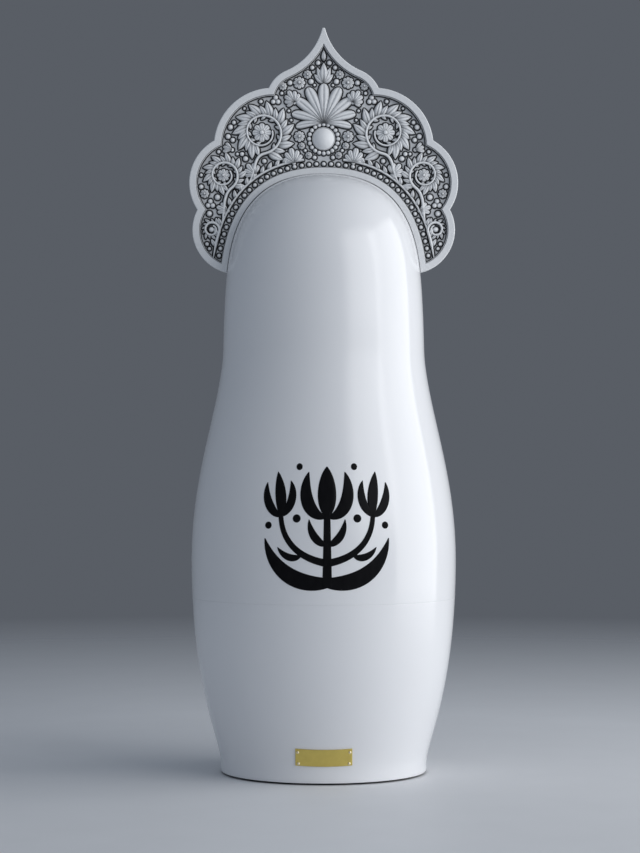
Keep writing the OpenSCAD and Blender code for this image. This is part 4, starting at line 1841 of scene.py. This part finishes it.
    def _arch_beads(self, finishes: Materials) -> None:
        """Builds the row of beads along the head.

        Args:
            finishes: The materials by name.
        """
        s, c = self.shape, self.sizes
        line = s.arch(s.arch_w + c.bead_margin + c.bead_d / 2)[::-1]
        last = run_along(line)[line[:, 1] > s.body.brow_z + c.bead_start_rise].max()
        relief = self._relief()
        for place in np.arange(0.0, last, c.bead_pitch):
            for hand in (1.0, -1.0) if place else (1.0,):
                relief.berry(spots_along(line, place) * [hand, 1.0], c.bead_d / 2)
        self._put(relief.draft, "arch_pearls", "arch_beads", finishes)

    def build(self, finishes: Materials) -> None:
        """Builds all the carvings, those in the middle first.

        Args:
            finishes: The materials by name.
        """
        self._palmette(finishes)
        self._cabochon(finishes)
        self._arch_beads(finishes)
        for side in Side:
            self._side(side, finishes)


# Belly and foot


@dataclass(frozen=True)
class BellySprig:
    """A black sprig painted on the belly: a trunk with a tulip, two branches with tulips, leaves and dots.

    Curves are in millimetres, across from the trunk and up from the sprig's foot, for the right-hand side.
    """

    body: TurnedBody
    centre_x: float = 1.9
    foot_z: float = 117.0
    paint_t: float = 0.15
    trunk: Curve = ((0, -1.5), (0, 13), (0, 27), (0, 42))
    trunk_w: Pair = (5.6, 3.6)
    branch: Curve = ((0, 12), (13, 14), (27, 22), (27.5, 41))
    branch_w: Pair = (4.4, 2.8)
    bud: Curve = ((0, 38), (0, 46), (0, 58), (0, 67))
    bud_w: float = 11.0
    bud_petal: Curve = ((0.5, 38), (12, 39), (15, 53), (11, 64))
    bud_petal_w: float = 7.6
    base_leaf: Curve = ((-7, 2.5), (11, -3.5), (31, 3.5), (37, 26))
    base_leaf_w: float = 9.5
    trunk_leaf: Curve = ((0.5, 22), (5, 23.5), (10, 28), (10.5, 37))
    trunk_leaf_w: float = 4.6
    side_bud: Curve = ((27.5, 38.5), (27, 47), (28.5, 55), (30.5, 64))
    side_bud_w: float = 6.8
    outer_petal: Curve = ((27.5, 38.5), (34, 41), (38.5, 49), (37, 58))
    outer_petal_w: float = 5.4
    inner_petal: Curve = ((27.5, 38.5), (21, 43), (19, 52), (22, 59))
    inner_petal_w: float = 5.0
    branch_leaf: Curve = ((15, 16.5), (19, 13.5), (25, 15), (29, 21))
    branch_leaf_w: float = 4.0
    dots: tuple[Point, ...] = ((17.8, 37.5, 2.3), (35.0, 33.5, 2.0), (17.0, 67.0, 1.9))
    thinning: float = 0.8
    fullness: Pair = (0.7, 0.8)
    fullness_peak: float = 0.357
    least_w: float = 0.05
    branch_points: int = 23
    petal_points: int = 25

    def _lay(self, points: np.ndarray) -> np.ndarray:
        """Wraps places and heights on the belly.

        Args:
            points: Places across, places up from the sprig's foot, and heights.

        Returns:
            The points in the frame.
        """
        z = self.foot_z + points[..., 1]
        radius = self.body.radius_at(z) + points[..., 2]
        turn = (self.centre_x + points[..., 0]) / self.body.belly_r
        return np.stack([radius * np.sin(turn), -radius * np.cos(turn), z], -1)

    def _stroke(self, relief: Relief, curve: np.ndarray, widths: np.ndarray) -> None:
        """Adds a flat brush stroke along a cubic curve, with its width at each point."""
        points = np.concatenate([curve[:1], bezier(*curve, len(widths) - 1)])
        relief.patch(with_height(ribbon(points, widths, np.linspace(-1.0, 1.0, 7)), self.paint_t))

    def _branch(self, relief: Relief, curve: np.ndarray, ends: Pair) -> None:
        """Adds a stroke that thins from one width to another."""
        run = np.linspace(0.0, 1.0, self.branch_points)
        self._stroke(relief, curve, ends[0] + (ends[1] - ends[0]) * run**self.thinning)

    def _petal(self, relief: Relief, curve: np.ndarray, width: float) -> None:
        """Adds a leaf-shaped stroke.

        Args:
            relief: The relief to add to.
            curve: The points of its cubic curve.
            width: Its greatest width.
        """
        heel, tip = self.fullness
        run = np.linspace(0.0, 1.0, self.petal_points)
        swell = np.maximum(run**heel * (1.0 - run) ** tip / self.fullness_peak, self.least_w)
        self._stroke(relief, curve, width * swell)

    def build(self, finishes: Materials) -> None:
        """Builds the sprig and puts it on the outer upper half.

        Args:
            finishes: The materials by name.
        """
        relief = Relief(self._lay, brim=0.04, sink=0.1)
        self._branch(relief, np.array(self.trunk, float), self.trunk_w)
        self._petal(relief, np.array(self.bud, float), self.bud_w)
        petals = [
            (self.bud_petal, self.bud_petal_w),
            (self.base_leaf, self.base_leaf_w),
            (self.trunk_leaf, self.trunk_leaf_w),
            (self.side_bud, self.side_bud_w),
            (self.outer_petal, self.outer_petal_w),
            (self.inner_petal, self.inner_petal_w),
            (self.branch_leaf, self.branch_leaf_w),
        ]
        for hand in (-1, 1):
            flip = np.array([hand, 1.0])
            for curve, width in petals:
                self._petal(relief, np.array(curve, float) * flip, width)
            self._branch(relief, np.array(self.branch, float) * flip, self.branch_w)
            for x, z, radius in self.dots:
                profile = [(radius, self.paint_t, 0.0), (radius * 0.5, self.paint_t, 0.0)]
                relief.dome(np.array([x, z]) * flip, profile, segments=28)
        piece = relief.draft.make("belly_sprig", [finishes["black_gloss"]], crease=60.0)
        put(piece, "outer_upper", "white_lacquer")


@dataclass(frozen=True)
class BrassPlate:
    """The small bent plate on the front above the foot, bare, with softened edges."""

    body: TurnedBody
    width: float = 33.0
    height: float = 10.0
    foot_z: float = 11.0
    thickness: float = 0.6
    gap: float = 0.05
    edge: float = 0.16
    edge_soft: float = 0.048
    end_rise: float = 0.5
    columns: int = 41
    rows: int = 13

    def _lay(self, points: np.ndarray) -> np.ndarray:
        """Wraps places and heights on the lower body, where its flare lifts the ends of the straight plate.

        Args:
            points: Places across, places up from the plate's lower edge, and heights.

        Returns:
            The points in the frame.
        """
        z = self.foot_z + points[..., 1] + self.end_rise * (2.0 * points[..., 0] / self.width) ** 2
        skin = self.body.radius_at(z)
        radius, turn = skin + points[..., 2], points[..., 0] / skin
        return np.stack([radius * np.sin(turn), -radius * np.cos(turn), z], -1)

    def _level(self, inset: float, height: float) -> np.ndarray:
        """Draws one level of the plate.

        Args:
            inset: Distance by which it is drawn in.
            height: Its height above the body.

        Returns:
            A grid of points.
        """
        across = np.linspace(-1.0, 1.0, self.columns) * (self.width / 2 - inset)
        rise = inset + np.linspace(0.0, 1.0, self.rows) * (self.height - 2 * inset)
        return self._lay(with_height(np.stack(np.meshgrid(across, rise, indexing="ij"), -1), height))

    def build(self, finishes: Materials) -> None:
        """Builds the plate and puts it on the outer lower half.

        Args:
            finishes: The materials by name.
        """
        draft = MeshDraft()
        face = self.gap + self.thickness
        front = draft.add_points(self._level(self.edge, face))
        back = draft.add_points(self._level(0.0, self.gap))
        draft.add_quads(front)
        draft.add_quads(back)
        edges = [(0.0, face - self.edge), (self.edge_soft, face - self.edge_soft)]
        sides = [draft.add_points(rim(self._level(*edge))) for edge in edges]
        draft.add_quads(np.stack([rim(back), *sides, rim(front)]), closed=True)
        piece = draft.make("plate_face", [finishes["brass"]], crease=50.0)
        put(piece, "outer_lower", "brass", "brass_plate")


# Studio


@dataclass(frozen=True)
class SoftLamp:
    """A rectangular lamp that points at the doll, with edges that fade over a share of its size."""

    name: str
    place: Point
    size: Pair
    watts: float
    soft: float
    aim: Point = (0.0, 0.0, 0.22)

    def _fade_edges(self, data: bpy.types.Light) -> None:
        """Fades the lamp's light towards its edges.

        Args:
            data: The lamp's data.
        """
        shader = Shader(data)
        spot = shader.add("ShaderNodeNewGeometry", {}, {}, "Parametric")
        stops = ((0.0, 0.0), (self.soft / 2, 1.0), (1.0 - self.soft / 2, 1.0), (1.0, 0.0))
        places = [shader.add("ShaderNodeSeparateXYZ", {}, {0: spot}, axis) for axis in "XY"]
        across, upward = (shader.ramp(place, stops) for place in places)
        glow = shader.add("ShaderNodeEmission", {}, {"Strength": across * upward})
        shader.add("ShaderNodeOutputLight", {}, {"Surface": glow})

    def build(self) -> None:
        """Adds the lamp."""
        data = bpy.data.lights.new(self.name, "AREA")
        data.shape = "RECTANGLE"
        data.size, data.size_y = self.size
        data.energy = self.watts
        self._fade_edges(data)
        lamp = bpy.data.objects.new(self.name, data)
        lamp.location = self.place
        lamp.rotation_mode = "QUATERNION"
        lamp.rotation_quaternion = (Vector(self.aim) - Vector(self.place)).to_track_quat("-Z", "Y")
        lamp.visible_camera = False
        bpy.context.scene.collection.objects.link(lamp)


@dataclass(frozen=True)
class Studio:
    """A plain pale floor that fades into a plain grey background, soft lamps and the camera."""

    background: Colour = (0.10, 0.111, 0.13)
    room_light: Colour = (0.265, 0.30, 0.35)
    floor_colour: Colour = (0.74, 0.75, 0.77)
    floor_deeper: float = 0.95
    floor_mottle_mm: float = 40.0
    floor_roughness: float = 0.55
    floor_r: float = 1.3
    floor_fade: Stops = ((0.25, 1.0), (1.0, 0.0))
    floor_drop_mm: float = 0.05
    camera_place: Point = (-0.0022, -1.57, 0.207)
    focal_px: float = 2617.0
    image_h_px: float = 853.0
    sensor_mm: float = 36.0
    lamps: tuple[SoftLamp, ...] = (
        SoftLamp(name="key_right", place=(1.2, -0.04, 0.42), size=(1.25, 1.4), watts=12.5, soft=0.16),
        SoftLamp(name="soft_front", place=(1.3, -1.20, 0.9), size=(1.8, 1.6), watts=22.5, soft=0.5),
    )

    def _world(self) -> None:
        """Sets the background seen by the camera and the dim light of the room."""
        world = bpy.data.worlds.new("room")
        bpy.context.scene.world = world
        shader = Shader(world)
        colours = (self.room_light, self.background)
        dim, seen = (shader.add("ShaderNodeBackground", {}, {"Color": colour}) for colour in colours)
        rays = ("Is Camera Ray", "Is Glossy Ray", "Is Transmission Ray")
        seen_by = sum(shader.add("ShaderNodeLightPath", {}, {}, ray) for ray in rays)
        mix = shader.add("ShaderNodeMixShader", {}, {"Fac": seen_by, 1: dim, 2: seen})
        shader.add("ShaderNodeOutputWorld", {}, {"Surface": mix})

    def _floor(self) -> None:
        """Adds the floor, which fades out with the distance from the doll."""
        shader = Shader(bpy.data.materials.new("pale_floor"))
        away = shader.add("ShaderNodeVectorMath", {"operation": "LENGTH"}, {0: shader.place()}, "Value")
        mottle = shader.noise(shader.place(), self.floor_mottle_mm, detail=4.0)
        deeper = tuple(self.floor_deeper * level for level in self.floor_colour)
        material = shader.finish({
            "Base Color": shader.blend(mottle, self.floor_colour, deeper),
            "Roughness": self.floor_roughness,
            "Alpha": shader.ramp(away * (1.0 / self.floor_r), self.floor_fade),
        })
        draft = MeshDraft()
        outline = np.array([[0.0, -self.floor_drop_mm], [self.floor_r / MM, -self.floor_drop_mm]])
        draft.add_lathe(outline, [Skin.LACQUER] * 2, segments=96)
        draft.make("floor", [material])

    def _camera(self) -> None:
        """Adds the camera, level with the doll's middle and straight in front."""
        data = bpy.data.cameras.new("camera")
        data.sensor_width = self.sensor_mm
        data.lens = self.focal_px * self.sensor_mm / self.image_h_px
        camera = bpy.data.objects.new("camera", data)
        camera.location = self.camera_place
        camera.rotation_euler = (math.pi / 2, 0.0, 0.0)
        bpy.context.scene.collection.objects.link(camera)
        bpy.context.scene.camera = camera

    def build(self) -> None:
        """Builds the studio."""
        bpy.context.scene.view_settings.view_transform = "Standard"
        self._world()
        self._floor()
        self._camera()
        for lamp in self.lamps:
            lamp.build()


def dress_kept_nodes(frame: dict[str, Any], finishes: Materials) -> None:
    """Gives the frame's own pieces that stay in view their finishes.

    Args:
        frame: The loaded frame.
        finishes: The materials by name.
    """
    kept = {"plate_pins": "pin_brass_glint", "headdress_dowels": "bare_wood"}
    for name, finish in kept.items():
        node = frame["nodes"][name]
        node.data.materials.clear()
        node.data.materials.append(finishes[finish])
        LOG.info("%s: kept, in %s", name, finish)


def corners(box: Sequence[Vector]) -> list[list[float]]:
    """A box's corners as plain numbers."""
    return [[float(value) for value in corner] for corner in box]


def main() -> None:
    """Builds the dolls, the headdress, the sprig, the plate and the studio around the frame."""
    logging.basicConfig(level=logging.INFO, format="%(name)s: %(message)s")
    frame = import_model()
    finishes: Materials = {
        "white_lacquer": WhiteLacquer().material(),
        "bare_wood": TurnedWood().material(),
        "headdress_paint": CarvedPaint().material(),
        "brass": SatinBrass().material(),
        "pin_brass_glint": PinBrass().material(),
        "black_gloss": BlackGloss().material(),
    }
    Studio().build()
    body = TurnedBody()
    doll_count = 7
    for number in range(1, doll_count + 1):
        NestedDoll(body, number).build(finishes, solid=number == doll_count)
    shape = HeaddressShape(body)
    HeaddressBoard(shape).build(finishes)
    HeaddressCarving(shape).build(finishes)
    BellySprig(body).build(finishes)
    BrassPlate(body).build(finishes)
    dress_kept_nodes(frame, finishes)


if __name__ == "__main__":
    main()
